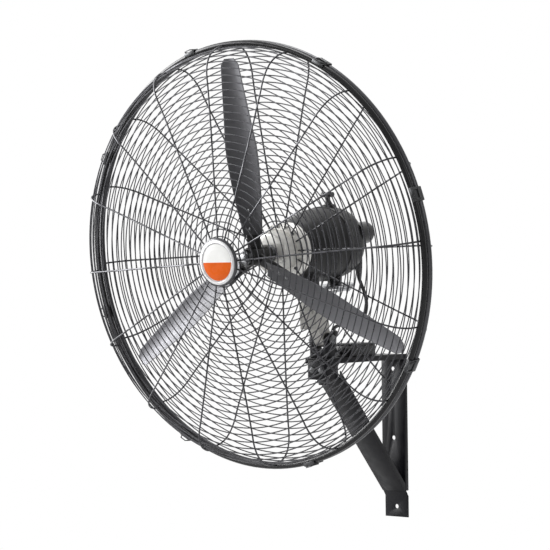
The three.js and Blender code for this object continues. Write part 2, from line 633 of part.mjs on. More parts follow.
// ---- swing mechanism ------------------------------------------------------------------------
// the drive disc and the anchor have equal arms, so the link between their pins stays parallel
function crankDisc() {
  const disc = alongZ(rod(LINK_ARM + CRANK_EDGE, crankBottom, crankTop), 0, GEAR_Y);
  const inDisc = CRANK_DISC_THICK / 2;
  const spindle = alongZ(
    rod(LINK_PIN_RADIUS + PIN_COLLAR, crankTop - inDisc, GEAR_BOSS_BOTTOM + CRANK_SEAT), 0, GEAR_Y);
  const pin = alongZ(rod(LINK_PIN_RADIUS, linkBottom - PIN_END, crankBottom + inDisc), LINK_ARM, GEAR_Y);
  return join(disc, spindle, pin);
}

function linkRod() {
  const length = GEAR_Y - SPINDLE_Y;
  const half = LINK_WIDTH / 2;
  const outline = new THREE.Shape();
  outline.moveTo(-half, 0);
  outline.absarc(0, 0, half, Math.PI, 0, false);
  outline.lineTo(half * LINK_WAIST, length / 2);
  outline.lineTo(half, length);
  outline.absarc(0, length, half, 0, Math.PI, false);
  outline.lineTo(-half * LINK_WAIST, length / 2);
  for (const y of [0, length]) {
    const eye = new THREE.Path();
    eye.absarc(0, y, LINK_PIN_RADIUS + RUN, 0, 2 * Math.PI, true);
    outline.holes.push(eye);
  }
  const settings = { depth: LINK_THICK, bevelEnabled: false, curveSegments: CURVE_STEPS };
  return new THREE.ExtrudeGeometry(outline, settings).translate(LINK_ARM, SPINDLE_Y, linkBottom);
}

add(head, 'crank_disc', crankDisc(), zinc());
add(head, 'link_rod', linkRod(), zinc());

// ---- clutch knob ----------------------------------------------------------------------------
function clutchKnob() {
  const collar = GEAR_BOSS_TOP + RUN;
  const barZ = collar + KNOB_HEIGHT - KNOB_STEM_RADIUS;
  const bottom = GEAR_BOSS_TOP - KNOB_BORE;
  const stem = alongZ(turned([
    [0, bottom], [KNOB_STEM_RADIUS, bottom], [KNOB_STEM_RADIUS, collar],
    [KNOB_STEM_RADIUS + KNOB_COLLAR, collar], [KNOB_STEM_RADIUS, collar + KNOB_COLLAR_HEIGHT],
    [KNOB_STEM_RADIUS, barZ], [0, barZ],
  ], FINE_FACETS), 0, GEAR_Y);
  return join(stem, alongX(rod(KNOB_STEM_RADIUS, -KNOB_BAR / 2, KNOB_BAR / 2), GEAR_Y, barZ));
}
add(head, 'clutch_knob', clutchKnob(), plasticBlack());

// ---- rotor ----------------------------------------------------------------------------------
const hoopInner = HOOP_RADIUS - HOOP_WIDTH;
const bladeTip = hoopInner - TIP_CLEARANCE;
const bladeTurns = Array.from({ length: BLADE_COUNT },
  (_, i) => -(BLADE_PHASE + (2 * Math.PI * i) / BLADE_COUNT));

// arm behind a blade's root, or with a clearance the tool that seats the blade on it
function spiderArm(clearance) {
  const half = ARM_WIDTH / 2 + clearance;
  const wall = ARM_WALL / 2 + clearance;
  const arm = box(-half, half, -wall, wall, HUB_RADIUS - ARM_SINK, ARM_LENGTH + clearance);
  return arm.rotateZ(bladePitch(ARM_LENGTH)).translate(0, BLADE_MID_Y + ARM_WALL / 2, 0);
}

function bladeHub() {
  const boss = turned([
    [0, HUB_FRONT], [HUB_RADIUS * HUB_FACE, HUB_FRONT], [HUB_RADIUS, HUB_FRONT + HUB_CHAMFER],
    [HUB_RADIUS, HUB_REAR], [0, HUB_REAR],
  ]);
  const body = cut(boss, rod(SHAFT_RADIUS + GAP, HUB_FRONT - THROUGH, HUB_REAR + THROUGH));
  return join(body, ...bladeTurns.map((turn) => spiderArm(0).rotateY(turn)));
}

const bladeShare = (radius) => (radius - BLADE_ROOT_RADIUS) / (bladeTip - BLADE_ROOT_RADIUS);

function bladePitch(radius) {
  const share = Math.max(bladeShare(radius), 0);
  return BLADE_ROOT_PITCH + (BLADE_TIP_PITCH - BLADE_ROOT_PITCH) * Math.sqrt(share);
}

function bladeChord(share) {
  const growth = Math.sin(Math.PI * Math.min(share, 0.5));
  const rise = (BLADE_MAX_CHORD - BLADE_ROOT_CHORD) * growth;
  const fall = (BLADE_MAX_CHORD - BLADE_TIP_CHORD) * Math.max(2 * share - 1, 0);
  return BLADE_ROOT_CHORD + rise - fall;
}

const bladeFace = BLADE_MID_Y - BLADE_CAMBER * BLADE_MAX_CHORD - GAP;

// one pressed blade, standing up from the axis: sections set by radius, chord, pitch and camber
function blade() {
  const across = 6;
  const stations = 10;
  const positions = [];
  const index = [];
  const point = (share, u, side) => {
    const nearTip = Math.max(0, 1 - (1 - share) / BLADE_CORNER_SHARE);
    const corner = BLADE_CORNER * nearTip * Math.pow(2 * u - 1, 4);
    const radius = BLADE_ROOT_RADIUS + share * (bladeTip - BLADE_ROOT_RADIUS) - corner;
    const chord = bladeChord(share);
    const pitch = bladePitch(radius);
    const offset = (u - 0.5) * chord;
    const bow = BLADE_CAMBER * chord * (1 - Math.pow(2 * u - 1, 2)) + side * BLADE_WALL / 2;
    const lean = BLADE_LEAN * (BLADE_LEAN_CENTRE - share);
    const x = lean + offset * Math.cos(pitch) - bow * Math.sin(pitch);
    const y = offset * Math.sin(pitch) + bow * Math.cos(pitch);
    return [x, bladeFace + y, Math.sqrt(radius * radius - x * x)];
  };
  for (const side of [-1, 1]) {
    for (let s = 0; s <= stations; s++) {
      for (let c = 0; c <= across; c++) positions.push(...point(s / stations, c / across, side));
    }
  }
  const row = across + 1;
  const layer = row * (stations + 1);
  const quad = (a, b, c, d) => index.push(a, b, c, a, c, d);
  for (let s = 0; s < stations; s++) {
    for (let c = 0; c < across; c++) {
      const a = s * row + c;
      quad(a, a + 1, a + row + 1, a + row);
      quad(layer + a, layer + a + row, layer + a + row + 1, layer + a + 1);
    }
  }
  const wall = (a, b) => quad(a, layer + a, layer + b, b);
  for (let c = 0; c < across; c++) {
    wall(c, c + 1);
    wall(stations * row + c + 1, stations * row + c);
  }
  for (let s = 0; s < stations; s++) {
    wall((s + 1) * row, s * row);
    wall(s * row + across, (s + 1) * row + across);
  }
  const geometry = new THREE.BufferGeometry();
  geometry.setAttribute('position', new THREE.Float32BufferAttribute(positions, 3));
  geometry.setIndex(index);
  return geometry;
}

const nutSeat = HUB_FRONT - GAP;
const hubNut = boredHexagon(SHAFT_RADIUS * NUT_SHARE, SHAFT_RADIUS + GAP, nutSeat - NUT_HEIGHT, nutSeat);
add(head, 'motor_shaft', rod(SHAFT_RADIUS, SHAFT_FRONT, shaftEnd), zinc());
add(head, 'blade_hub', bladeHub(), motorBlack());
bladeTurns.forEach((turn, i) => {
  add(head, `blade_${i + 1}`, cut(blade(), spiderArm(GAP)).rotateY(turn), bladeGrey());
});
add(head, 'hub_nut', hubNut, zinc());

// ---- guard ----------------------------------------------------------------------------------
const hoopMid = HOOP_FRONT + HOOP_THICK + HOOP_SLIT / 2;
const guardEdge = hoopInner * Math.cos(Math.PI / HOOP_FACETS) - GAP;

// radius against depth: a low dome out to the knee, then the rounded shoulder down to the hoop
function guardProfile(centre, depth, crown) {
  const knee = guardEdge - SHOULDER;
  const foot = WIRE_WIDTH / 2;
  const points = [new THREE.Vector2(centre, depth + crown)];
  points.push(new THREE.Vector2((centre + knee) / 2, depth + crown / 2));
  for (let i = 0; i <= SHOULDER_STEPS; i++) {
    const a = (Math.PI / 2) * (i / SHOULDER_STEPS);
    const out = Math.pow(Math.sin(a), 2 / SHOULDER_FULLNESS);
    const down = Math.pow(Math.max(Math.cos(a), 0), 2 / SHOULDER_FULLNESS);
    points.push(new THREE.Vector2(knee + SHOULDER * out, foot + (depth - foot) * down));
  }
  return new THREE.SplineCurve(points);
}

// a shell of revolution with a window in every cell between two rings and two radial wires
function wireGuard(profile, sign, base) {
  const length = profile.getLength();
  const stations = [];
  for (let k = 0; k < GUARD_RINGS; k++) {
    const middle = WIRE_WIDTH / 2 / length + (k / (GUARD_RINGS - 1)) * (1 - WIRE_WIDTH / length);
    for (const side of [-1, 1]) {
      const u = THREE.MathUtils.clamp(middle + (side * WIRE_WIDTH) / 2 / length, 0, 1);
      const p = profile.getPointAt(u);
      const t = profile.getTangentAt(u);
      stations.push({ p, n: new THREE.Vector2(-t.y, t.x) });
    }
  }
  const perWire = 3;
  const around = GUARD_WIRES * perWire;
  const positions = [];
  for (const side of [-1, 1]) {
    for (const { p, n } of stations) {
      const half = Math.asin(WIRE_WIDTH / 2 / p.x);
      for (let i = 0; i < GUARD_WIRES; i++) {
        const centre = GUARD_PHASE + (2 * Math.PI * i) / GUARD_WIRES;
        for (const a of [centre - half, centre + half, centre + Math.PI / GUARD_WIRES]) {
          const radius = p.x + Math.min(side * n.x * WIRE_HALF, guardEdge - p.x);
          const depth = base + sign * (p.y + side * n.y * WIRE_HALF);
          positions.push(-radius * Math.sin(a), depth, radius * Math.cos(a));
        }
      }
    }
  }
  const layer = stations.length * around;
  const solid = (row, column) => row >= 0 && row < stations.length - 1
    && (row % 2 === 0 || ((column % around) + around) % around % perWire === 0);
  const at = (row, column, side) => side * layer + row * around + (((column % around) + around) % around);
  const index = [];
  const quad = (a, b, c, d) => index.push(a, b, c, a, c, d);
  for (let row = 0; row < stations.length - 1; row++) {
    for (let column = 0; column < around; column++) {
      if (!solid(row, column)) continue;
      quad(at(row, column, 0), at(row, column + 1, 0), at(row + 1, column + 1, 0), at(row + 1, column, 0));
      quad(at(row, column, 1), at(row + 1, column, 1), at(row + 1, column + 1, 1), at(row, column + 1, 1));
      const wall = (r0, c0, r1, c1) => quad(at(r0, c0, 0), at(r0, c0, 1), at(r1, c1, 1), at(r1, c1, 0));
      if (!solid(row - 1, column)) wall(row, column, row, column + 1);
      if (!solid(row + 1, column)) wall(row + 1, column + 1, row + 1, column);
      if (!solid(row, column - 1)) wall(row + 1, column, row, column);
      if (!solid(row, column + 1)) wall(row, column + 1, row + 1, column + 1);
    }
  }
  const geometry = new THREE.BufferGeometry();
  geometry.setAttribute('position', new THREE.Float32BufferAttribute(positions, 3));
  geometry.setIndex(index);
  return geometry;
}

const frontProfile = guardProfile(FRONT_CENTRE_RADIUS, FRONT_DEPTH, FRONT_CROWN);
const rearProfile = guardProfile(REAR_CENTRE_RADIUS, REAR_DEPTH, REAR_CROWN);
const frontBase = hoopMid - HOOP_SLIT;
const rearBase = hoopMid + HOOP_SLIT;
add(head, 'front_guard', wireGuard(frontProfile, -1, frontBase), wireGrey());
add(head, 'rear_guard', wireGuard(rearProfile, 1, rearBase), wireGrey());

const hoop = (y0) => ring(hoopInner, HOOP_RADIUS, y0, y0 + HOOP_THICK, HOOP_FACETS);
add(head, 'front_rim_hoop', hoop(HOOP_FRONT), hoopGrey());
add(head, 'rear_rim_hoop', hoop(HOOP_FRONT + HOOP_THICK + HOOP_SLIT), hoopGrey());

const rearCentreFace = rearBase + REAR_DEPTH + REAR_CROWN + WIRE_HALF;
const ringPlateFace = rearCentreFace + GAP;
add(head, 'guard_ring_plate', ring(NOSE_RADIUS + GAP, RING_PLATE_RADIUS, ringPlateFace,
  ringPlateFace + RING_PLATE_THICK), wireGrey());

// a clip hooks over both hoops from outside; its lever stands out at the front
function rimClip() {
  const inner = HOOP_RADIUS + GAP;
  const outer = inner + CLIP_WALL;
  const front = HOOP_FRONT - GAP;
  const rear = HOOP_FRONT + 2 * HOOP_THICK + HOOP_SLIT + GAP;
  const hook = HOOP_RADIUS - CLIP_HOOK;
  const lever = front - CLIP_LEVER;
  const middle = (front + rear) / 2;
  return slabX([
    [front, hook], [front, inner], [rear, inner], [rear, hook], [rear + CLIP_WALL, hook],
    [rear + CLIP_WALL, outer], [middle, outer], [front, outer + CLIP_WALL], [lever, outer],
    [lever, inner], [front - CLIP_WALL, inner], [front - CLIP_WALL, hook],
  ], CLIP_WIDTH);
}
for (let i = 0; i < CLIP_COUNT; i++) {
  const turn = CLIP_PHASE + (2 * Math.PI * i) / CLIP_COUNT;
  add(head, `rim_clip_${i + 1}`, rimClip().rotateY(turn), zinc());
}

const badgeBack = frontBase - FRONT_DEPTH - FRONT_CROWN - WIRE_HALF - GAP;
const badgeFront = badgeBack - BADGE_THICK;
const badgeInner = BADGE_RADIUS - BADGE_RIM;
add(head, 'badge_bezel', turned([
  [badgeInner, badgeFront], [BADGE_RADIUS - BADGE_BEVEL, badgeFront],
  [BADGE_RADIUS, badgeFront + BADGE_BEVEL], [BADGE_RADIUS, badgeBack], [badgeInner, badgeBack],
  [badgeInner, badgeFront],
]), hoopGrey());
add(head, 'badge_plate', rod(badgeInner - GAP, badgeFront + BADGE_RECESS, badgeBack), badgeWhite());

// ---- cables ---------------------------------------------------------------------------------
const boxTop = CHANNEL_TOP + GAP + BOX_HEIGHT;
const boxMidZ = CHANNEL_TOP + GAP + BOX_HEIGHT / 2;
const lidBottom = boxTop + GAP;
const glandShape = (length) => turned([
  [0, 0], [GLAND_RADIUS, 0], [GLAND_RADIUS, length / 2], [CABLE_RADIUS + GLAND_LIP, length],
  [0, length]], FINE_FACETS);
const boxSolid = (rim, z0, z1) => box(-BOX_WIDTH / 2 - rim, BOX_WIDTH / 2 + rim,
  BOX_FRONT - rim, BOX_REAR + rim, z0, z1);
const boxGland = glandShape(BOX_GLAND_LENGTH).rotateX(Math.PI).translate(0, BOX_FRONT - GAP, boxMidZ);
const supplyGland = glandShape(BOX_GLAND_LENGTH).translate(0, BOX_REAR + GAP, boxMidZ);

add(fan, 'junction_box', boxSolid(0, CHANNEL_TOP + GAP, boxTop), plasticBlack());
add(fan, 'junction_box_lid', boxSolid(BOX_LID_RIM, lidBottom, lidBottom + BOX_LID), plasticBlack());
add(fan, 'box_gland', boxGland, plasticBlack());
add(fan, 'supply_gland', supplyGland, plasticBlack());

const clipEye = inHead(CABLE_CLIP_X, CABLE_CLIP_Y, CABLE_CLIP_Z);

function cableClip() {
  const half = CABLE_CLIP_HEIGHT / 2;
  const bottom = clipEye.z - half;
  const top = clipEye.z + half;
  const eyeRadius = CABLE_RADIUS + CABLE_CLIP_WALL;
  const eye = alongZ(rod(eyeRadius, bottom, top), CABLE_CLIP_X, clipEye.y);
  const bore = alongZ(rod(CABLE_RADIUS + GAP, bottom - THROUGH, top + THROUGH), CABLE_CLIP_X, clipEye.y);
  const neckBack = boreMid.x + NECK_EYE_RADIUS + GAP;
  const tab = box(CABLE_CLIP_X - eyeRadius, CABLE_CLIP_X, neckBack, clipEye.y, bottom, top);
  return cut(join(eye, tab), bore);
}

// routes in the wall's frame, from the motor down to the clip and from the clip to the box
const fromMotor = (drop) => inWall(MOTOR_GLAND.x, MOTOR_GLAND.y, glandTip - GAP - drop);
const fromClip = (rise) => inWall(CABLE_CLIP_X, clipEye.y, clipEye.z + rise);
const vectors = (points) => points.map((p) => new THREE.Vector3(...p));
const upperRoute = [
  fromMotor(0), fromMotor(5), fromMotor(12),
  ...vectors([[41.5, -168, 444], [42, -159, 428], [41, -152, 411], [38, -149, 394], [34, -152, 379],
    [28, -162, 368], [22, -176, 363], [17, -191, 363], [13.5, -206, 364]]),
  fromClip(11), fromClip(6), fromClip(1),
];
const gland = BOX_FRONT - GAP - BOX_GLAND_LENGTH;
const lowerRoute = [
  fromClip(-1), fromClip(-6),
  ...vectors([[11, -218, 334], [8.5, -216, 325], [5, -211, 317], [2, -203, 312.5]]),
  new THREE.Vector3(0, gland - 8, boxMidZ), new THREE.Vector3(0, gland - 4, boxMidZ),
  new THREE.Vector3(0, gland - GAP, boxMidZ),
];
add(fan, 'motor_cable_upper', tube(upperRoute, CABLE_RADIUS, 8, 22), cableBlack());
add(fan, 'motor_cable_lower', tube(lowerRoute, CABLE_RADIUS, 8, 12), cableBlack());
add(head, 'cable_clip', cableClip(), plasticBlack());

export default fan;
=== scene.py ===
"""Dresses the wall mounted fan: finer pieces, finishes, lights and camera around its solids."""

import json
import math

import bpy
from mathutils import Matrix, Vector


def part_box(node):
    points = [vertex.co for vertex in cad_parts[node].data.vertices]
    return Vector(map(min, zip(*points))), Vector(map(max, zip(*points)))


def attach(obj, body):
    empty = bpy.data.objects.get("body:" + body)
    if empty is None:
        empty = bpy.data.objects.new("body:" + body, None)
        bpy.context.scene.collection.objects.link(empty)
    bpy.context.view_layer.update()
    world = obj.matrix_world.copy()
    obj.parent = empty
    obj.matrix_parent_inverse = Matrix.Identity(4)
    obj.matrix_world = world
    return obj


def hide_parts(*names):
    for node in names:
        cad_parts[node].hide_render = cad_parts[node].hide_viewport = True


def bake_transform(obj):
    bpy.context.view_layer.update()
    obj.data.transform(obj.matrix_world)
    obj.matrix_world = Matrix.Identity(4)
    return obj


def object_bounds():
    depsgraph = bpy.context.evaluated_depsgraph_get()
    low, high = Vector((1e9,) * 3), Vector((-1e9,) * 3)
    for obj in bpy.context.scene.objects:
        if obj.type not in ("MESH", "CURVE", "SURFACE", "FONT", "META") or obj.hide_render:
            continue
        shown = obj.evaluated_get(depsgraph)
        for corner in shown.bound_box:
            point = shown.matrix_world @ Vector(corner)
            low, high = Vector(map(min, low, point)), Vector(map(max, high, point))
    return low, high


bl_info = {
    "name": "Wall mounted fan",
    "version": (1, 0, 0),
    "blender": (4, 5, 0),
    "location": "View3D > Sidebar > Fan",
    "description": "Models the visible pieces of a wall mounted fan around its solids",
    "category": "Object",
}

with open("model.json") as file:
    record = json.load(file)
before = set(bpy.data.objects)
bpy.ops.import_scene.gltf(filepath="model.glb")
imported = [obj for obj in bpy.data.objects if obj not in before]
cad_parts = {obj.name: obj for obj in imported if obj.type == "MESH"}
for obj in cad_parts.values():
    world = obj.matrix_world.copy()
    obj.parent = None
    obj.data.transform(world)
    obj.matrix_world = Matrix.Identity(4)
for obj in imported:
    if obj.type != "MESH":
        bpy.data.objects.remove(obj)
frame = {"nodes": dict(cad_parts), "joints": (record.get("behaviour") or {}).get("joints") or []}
cad_low, cad_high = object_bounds()
NODES = frame["nodes"]
JOINTS = {joint["name"]: joint for joint in frame["joints"]}

# The head's own frame: its origin is the middle of the guard and its Y runs back along the shaft.
SHAFT_AXIS = Vector(JOINTS["blade_spin"]["axis"])
HEAD_TILT = math.atan2(SHAFT_AXIS.z, SHAFT_AXIS.y)
HEAD = Matrix.Translation(JOINTS["blade_spin"]["pos_m"]) @ Matrix.Rotation(HEAD_TILT, 4, "X")
FULL_TURN = 2 * math.pi
DOUBLES, SOLID_DOUBLES = 1e-6, 1e-5             # nearer than this, vertices are one
LARGE, MEDIUM, SMALL, TINY = 96, 64, 48, 20     # steps round a turned piece
AHEAD = -0.2                                    # a depth in front of the blades


def head_box(node):
    """Lowest and highest corner of a node, in the head's frame."""
    inverse = HEAD.inverted()
    points = [inverse @ vertex.co for vertex in NODES[node].data.vertices]
    return Vector(map(min, zip(*points))), Vector(map(max, zip(*points)))


# ---- hand tools -----------------------------------------------------------------------------
def deselect():
    if bpy.context.mode != "OBJECT":
        bpy.ops.object.mode_set(mode="OBJECT")
    bpy.ops.object.select_all(action="DESELECT")


def pick(*objects):
    """Selects these objects alone and makes the first active."""
    deselect()
    for chosen in objects:
        chosen.select_set(True)
    bpy.context.view_layer.objects.active = objects[0]
    return objects[0]


def edit(chosen):
    pick(chosen)
    bpy.ops.object.mode_set(mode="EDIT")
    bpy.ops.mesh.select_mode(type="VERT")
    bpy.ops.mesh.select_all(action="SELECT")


def line(points):
    """An open line of edges, extruded from vertex to vertex. It is left in edit mode."""
    points = [Vector(point) for point in points]
    deselect()
    bpy.ops.mesh.primitive_plane_add(size=0.01)
    bpy.ops.object.mode_set(mode="EDIT")
    bpy.ops.mesh.select_mode(type="VERT")
    bpy.ops.mesh.merge(type="CENTER")
    bpy.ops.transform.translate(value=points[0])
    for here, there in zip(points, points[1:]):
        bpy.ops.mesh.extrude_vertices_move(TRANSFORM_OT_translate={"value": there - here})
    return bpy.context.active_object


def clean_mesh():
    """Merges doubles and turns the faces out. Leaves edit mode."""
    bpy.ops.mesh.select_all(action="SELECT")
    bpy.ops.mesh.remove_doubles(threshold=DOUBLES)
    bpy.ops.mesh.normals_make_consistent(inside=False)
    bpy.ops.object.mode_set(mode="OBJECT")
    return bpy.context.active_object


def lathe(profile, steps, axis="Y", centre=(0, 0, 0)):
    """A body of revolution from [radius, place along the axis] pairs, both in metres."""
    centre = Vector(centre)
    place = {
        "X": lambda r, t: Vector((t, r, 0)),
        "Y": lambda r, t: Vector((r, t, 0)),
        "Z": lambda r, t: Vector((r, 0, t)),
    }[axis]
    line([centre + place(r, t) for r, t in profile])
    bpy.ops.mesh.select_all(action="SELECT")
    bpy.ops.mesh.spin(
        steps=steps, angle=FULL_TURN, center=centre, axis=[float(axis == a) for a in "XYZ"]
    )
    return clean_mesh()


def wire(points, radius, resolution=2):
    """A round wire along points."""
    line(points)
    bpy.ops.object.mode_set(mode="OBJECT")
    bpy.ops.object.convert(target="CURVE")
    curve = bpy.context.active_object.data
    curve.dimensions = "3D"
    curve.fill_mode = "FULL"
    curve.bevel_depth = radius
    curve.bevel_resolution = resolution
    curve.use_fill_caps = True
    bpy.ops.object.convert(target="MESH")
    edit(bpy.context.active_object)
    return clean_mesh()


def settle(piece):
    """Puts the piece's place and turn into its mesh."""
    pick(piece)
    bpy.ops.object.transform_apply(location=True, rotation=True, scale=True)
    return piece


def modifier(piece, kind, **settings):
    """Adds a modifier and applies it."""
    pick(piece)
    added = piece.modifiers.new(kind.lower(), kind)
    for name, value in settings.items():
        setattr(added, name, value)
    bpy.ops.object.modifier_apply(modifier=added.name)
    return piece


def bevelled(piece, width, segments=2, angle=35):
    return modifier(
        piece, "BEVEL", width=width, segments=segments, limit_method="ANGLE",
        angle_limit=math.radians(angle),
    )


def smooth(piece, angle=35):
    pick(piece)
    bpy.ops.object.shade_smooth_by_angle(angle=math.radians(angle))
    return piece


def joined(*pieces):
    first = pick(*pieces)
    bpy.ops.object.join()
    return first


def copies_at(piece, places):
    """Copies of a piece, each with its own mesh, at these places. The piece goes to the last."""
    copies = [piece.copy() for _ in places[1:]]
    for one in copies:
        one.data = piece.data.copy()
        bpy.context.scene.collection.objects.link(one)
    copies.append(piece)
    for one, place in zip(copies, places):
        one.matrix_world = place
    for one in copies:
        settle(one)
    return copies


def turned_copies(piece, angles):
    """Copies turned about the shaft."""
    return copies_at(piece, [Matrix.Rotation(angle, 4, "Y") for angle in angles])


def ring_round_shaft(depth, radius, tube, steps, faces):
    """A round ring about the shaft, at that depth in the head's frame."""
    deselect()
    bpy.ops.mesh.primitive_torus_add(
        major_radius=radius, minor_radius=tube, major_segments=steps, minor_segments=faces,
        location=(0, depth, 0), rotation=(math.pi / 2, 0, 0),
    )
    return settle(bpy.context.active_object)


def round_head(radius, height):
    """A low round head standing off the face Y = 0, towards the front."""
    sunk = radius * 0.3
    turns = [math.pi / 10 * k for k in range(5)]
    rim = [(radius * math.cos(turn), -height * math.sin(turn)) for turn in turns]
    return lathe([(0, sunk), (radius, sunk), *rim, (0, -height)], TINY)


def struck(pieces, x, z):
    """How far back the first surface lies that a line from the front meets, in the head's frame."""
    start = HEAD @ Vector((x, AHEAD, z))
    heading = HEAD.to_3x3() @ Vector((0, 1, 0))
    found = []
    for piece in pieces:
        met, place, _, _ = piece.ray_cast(start, heading)
        if met:
            found.append((HEAD.inverted() @ place).y)
    return min(found)


def from_solid(node):
    """A merged copy of a solid, with its flat faces in one piece each, ready for bevels."""
    deselect()
    copy = NODES[node].copy()
    copy.data = NODES[node].data.copy()
    copy.parent = None
    for key in list(copy.keys()):
        del copy[key]
    bpy.context.scene.collection.objects.link(copy)
    copy.hide_render = False
    copy.hide_viewport = False
    edit(copy)
    bpy.ops.mesh.remove_doubles(threshold=SOLID_DOUBLES)
    bpy.ops.mesh.dissolve_limited(angle_limit=math.radians(1))
    bpy.ops.object.mode_set(mode="OBJECT")
    copy.data.materials.clear()
    return copy


def finished(piece, name, body, material, replaces=(), place=None, angle=35):
    """Names, places, shades and paints a piece, and sets it on its body."""
    if place is not None:
        piece.matrix_world = place
        settle(piece)
    smooth(piece, angle)
    piece.name = name
    piece.data.name = name
    piece.data.materials.clear()
    piece.data.materials.append(material)
    if body:
        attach(piece, body)
    if replaces:
        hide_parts(*replaces)
    return piece


def repaint(node, material):
    """Gives a solid that stays in view a better material."""
    mesh = NODES[node].data
    mesh.materials.clear()
    mesh.materials.append(material)


# ---- finishes -------------------------------------------------------------------------------
def new_material(name):
    material = bpy.data.materials.new(name)
    material.use_nodes = True
    tree = material.node_tree
    return material, tree, tree.nodes["Principled BSDF"]


def linked(tree, kind, inputs=(), **settings):
    """A node with its settings, and inputs given as numbers or as sockets to link."""
    made = tree.nodes.new(kind)
    for name, value in settings.items():
        setattr(made, name, value)
    for key, value in dict(inputs).items():
        if isinstance(value, bpy.types.NodeSocket):
            tree.links.new(value, made.inputs[key])
        else:
            made.inputs[key].default_value = value
    return made


def noise(tree, vector, scale, detail=3.0, roughness=0.5):
    return linked(
        tree, "ShaderNodeTexNoise",
        {"Vector": vector, "Scale": scale, "Detail": detail, "Roughness": roughness},
    ).outputs["Fac"]


NOISE_LOW, NOISE_HIGH = 0.3, 0.7    # what most of a noise lies between


def ranged(tree, value, low, high, start=NOISE_LOW, end=NOISE_HIGH):
    return linked(
        tree, "ShaderNodeMapRange",
        {"Value": value, "From Min": start, "From Max": end, "To Min": low, "To Max": high},
    ).outputs["Result"]


def shades(tree, value, dark, light):
    ramp = linked(tree, "ShaderNodeValToRGB", {"Fac": value})
    ramp.color_ramp.elements[0].position = NOISE_LOW
    ramp.color_ramp.elements[1].position = NOISE_HIGH
    ramp.color_ramp.elements[0].color = (*dark, 1)
    ramp.color_ramp.elements[1].color = (*light, 1)
    return ramp.outputs["Color"]


MIX_FIRST, MIX_SECOND, MIX_RESULT = 6, 7, 2     # colour sockets of a Mix node
WHITE = (1, 1, 1, 1)


def mixed(tree, factor, first, second, blend="MIX"):
    """Two colours, mixed by a factor from 0 to 1."""
    return linked(
        tree, "ShaderNodeMix", {"Factor": factor, MIX_FIRST: first, MIX_SECOND: second},
        data_type="RGBA", blend_type=blend,
    ).outputs[MIX_RESULT]


def toned(colour, factor):
    return tuple(min(channel * factor, 1.0) for channel in colour)


def bumped(tree, shader, height, strength, distance):
    normal = linked(
        tree, "ShaderNodeBump", {"Height": height, "Strength": strength, "Distance": distance}
    ).outputs["Normal"]
    tree.links.new(normal, shader.inputs["Normal"])


def coating(
    name, colour, roughness, metallic=0.0, grain=700.0, relief=0.12, spread=0.12, coat=0.0,
    shine=0.5,
):
    """A sprayed or baked paint: cloudy tone, uneven gloss and a fine orange-peel relief."""
    material, tree, shader = new_material(name)
    place = linked(tree, "ShaderNodeTexCoord").outputs["Object"]
    cloud = noise(tree, place, scale=9.0)
    tree.links.new(
        shades(tree, cloud, toned(colour, 1 - spread), toned(colour, 1 + spread)),
        shader.inputs["Base Color"],
    )
    gloss = noise(tree, place, scale=55.0, detail=4.0)
    tree.links.new(
        ranged(tree, gloss, roughness - 0.07, roughness + 0.09), shader.inputs["Roughness"]
    )
    shader.inputs["Metallic"].default_value = metallic
    shader.inputs["Specular IOR Level"].default_value = shine
    shader.inputs["Coat Weight"].default_value = coat
    shader.inputs["Coat Roughness"].default_value = 0.25
    bumped(tree, shader, noise(tree, place, grain, detail=2.0), relief, distance=0.0004)
    return material


def darkened_near(material, centre, near, far, least):
    """Darkens a finish towards a centre: painted shade, standing in for the shadow that the hub and
    guard cast.
    """
    tree = material.node_tree
    colour = tree.nodes["Principled BSDF"].inputs["Base Color"]
    place = linked(tree, "ShaderNodeTexCoord").outputs["Object"]
    distance = linked(
        tree, "ShaderNodeVectorMath", {0: place, 1: centre}, operation="DISTANCE"
    ).outputs["Value"]
    painted_shade = ranged(tree, distance, least, 1.0, near, far)
    tree.links.new(mixed(tree, 1.0, colour.links[0].from_socket, painted_shade, "MULTIPLY"), colour)


def bare_metal(name, colour, roughness, stretch=(1, 1, 1), grain=400.0, relief=0.1, metal=1.0):
    """Plated or cast metal, with scratches drawn out along one direction or an even grain."""
    material, tree, shader = new_material(name)
    place = linked(tree, "ShaderNodeTexCoord").outputs["Object"]
    drawn = linked(
        tree, "ShaderNodeMapping", {"Vector": place, "Scale": stretch}
    ).outputs["Vector"]
    streak = noise(tree, drawn, grain, detail=4.0, roughness=0.6)
    patch = noise(tree, place, scale=30.0)
    tree.links.new(
        shades(tree, patch, toned(colour, 0.82), toned(colour, 1.08)), shader.inputs["Base Color"]
    )
    tree.links.new(
        ranged(tree, streak, roughness - 0.1, roughness + 0.12), shader.inputs["Roughness"]
    )
    shader.inputs["Metallic"].default_value = metal
    bumped(tree, shader, streak, relief, distance=0.0003)
    return material


def moulded(name, colour, roughness, grain=1400.0, relief=0.15):
    """Moulded plastic or rubber with a fine eroded grain."""
    material, tree, shader = new_material(name)
    place = linked(tree, "ShaderNodeTexCoord").outputs["Object"]
    tree.links.new(
        shades(tree, noise(tree, place, scale=25.0), toned(colour, 0.85), toned(colour, 1.2)),
        shader.inputs["Base Color"],
    )
    tree.links.new(
        ranged(tree, noise(tree, place, scale=120.0), roughness - 0.06, roughness + 0.08),
        shader.inputs["Roughness"],
    )
    bumped(tree, shader, noise(tree, place, grain, detail=2.0), relief, distance=0.0002)
    return material


HALF_BLUR = 0.0001                  # half the width of the edge between the badge's tones


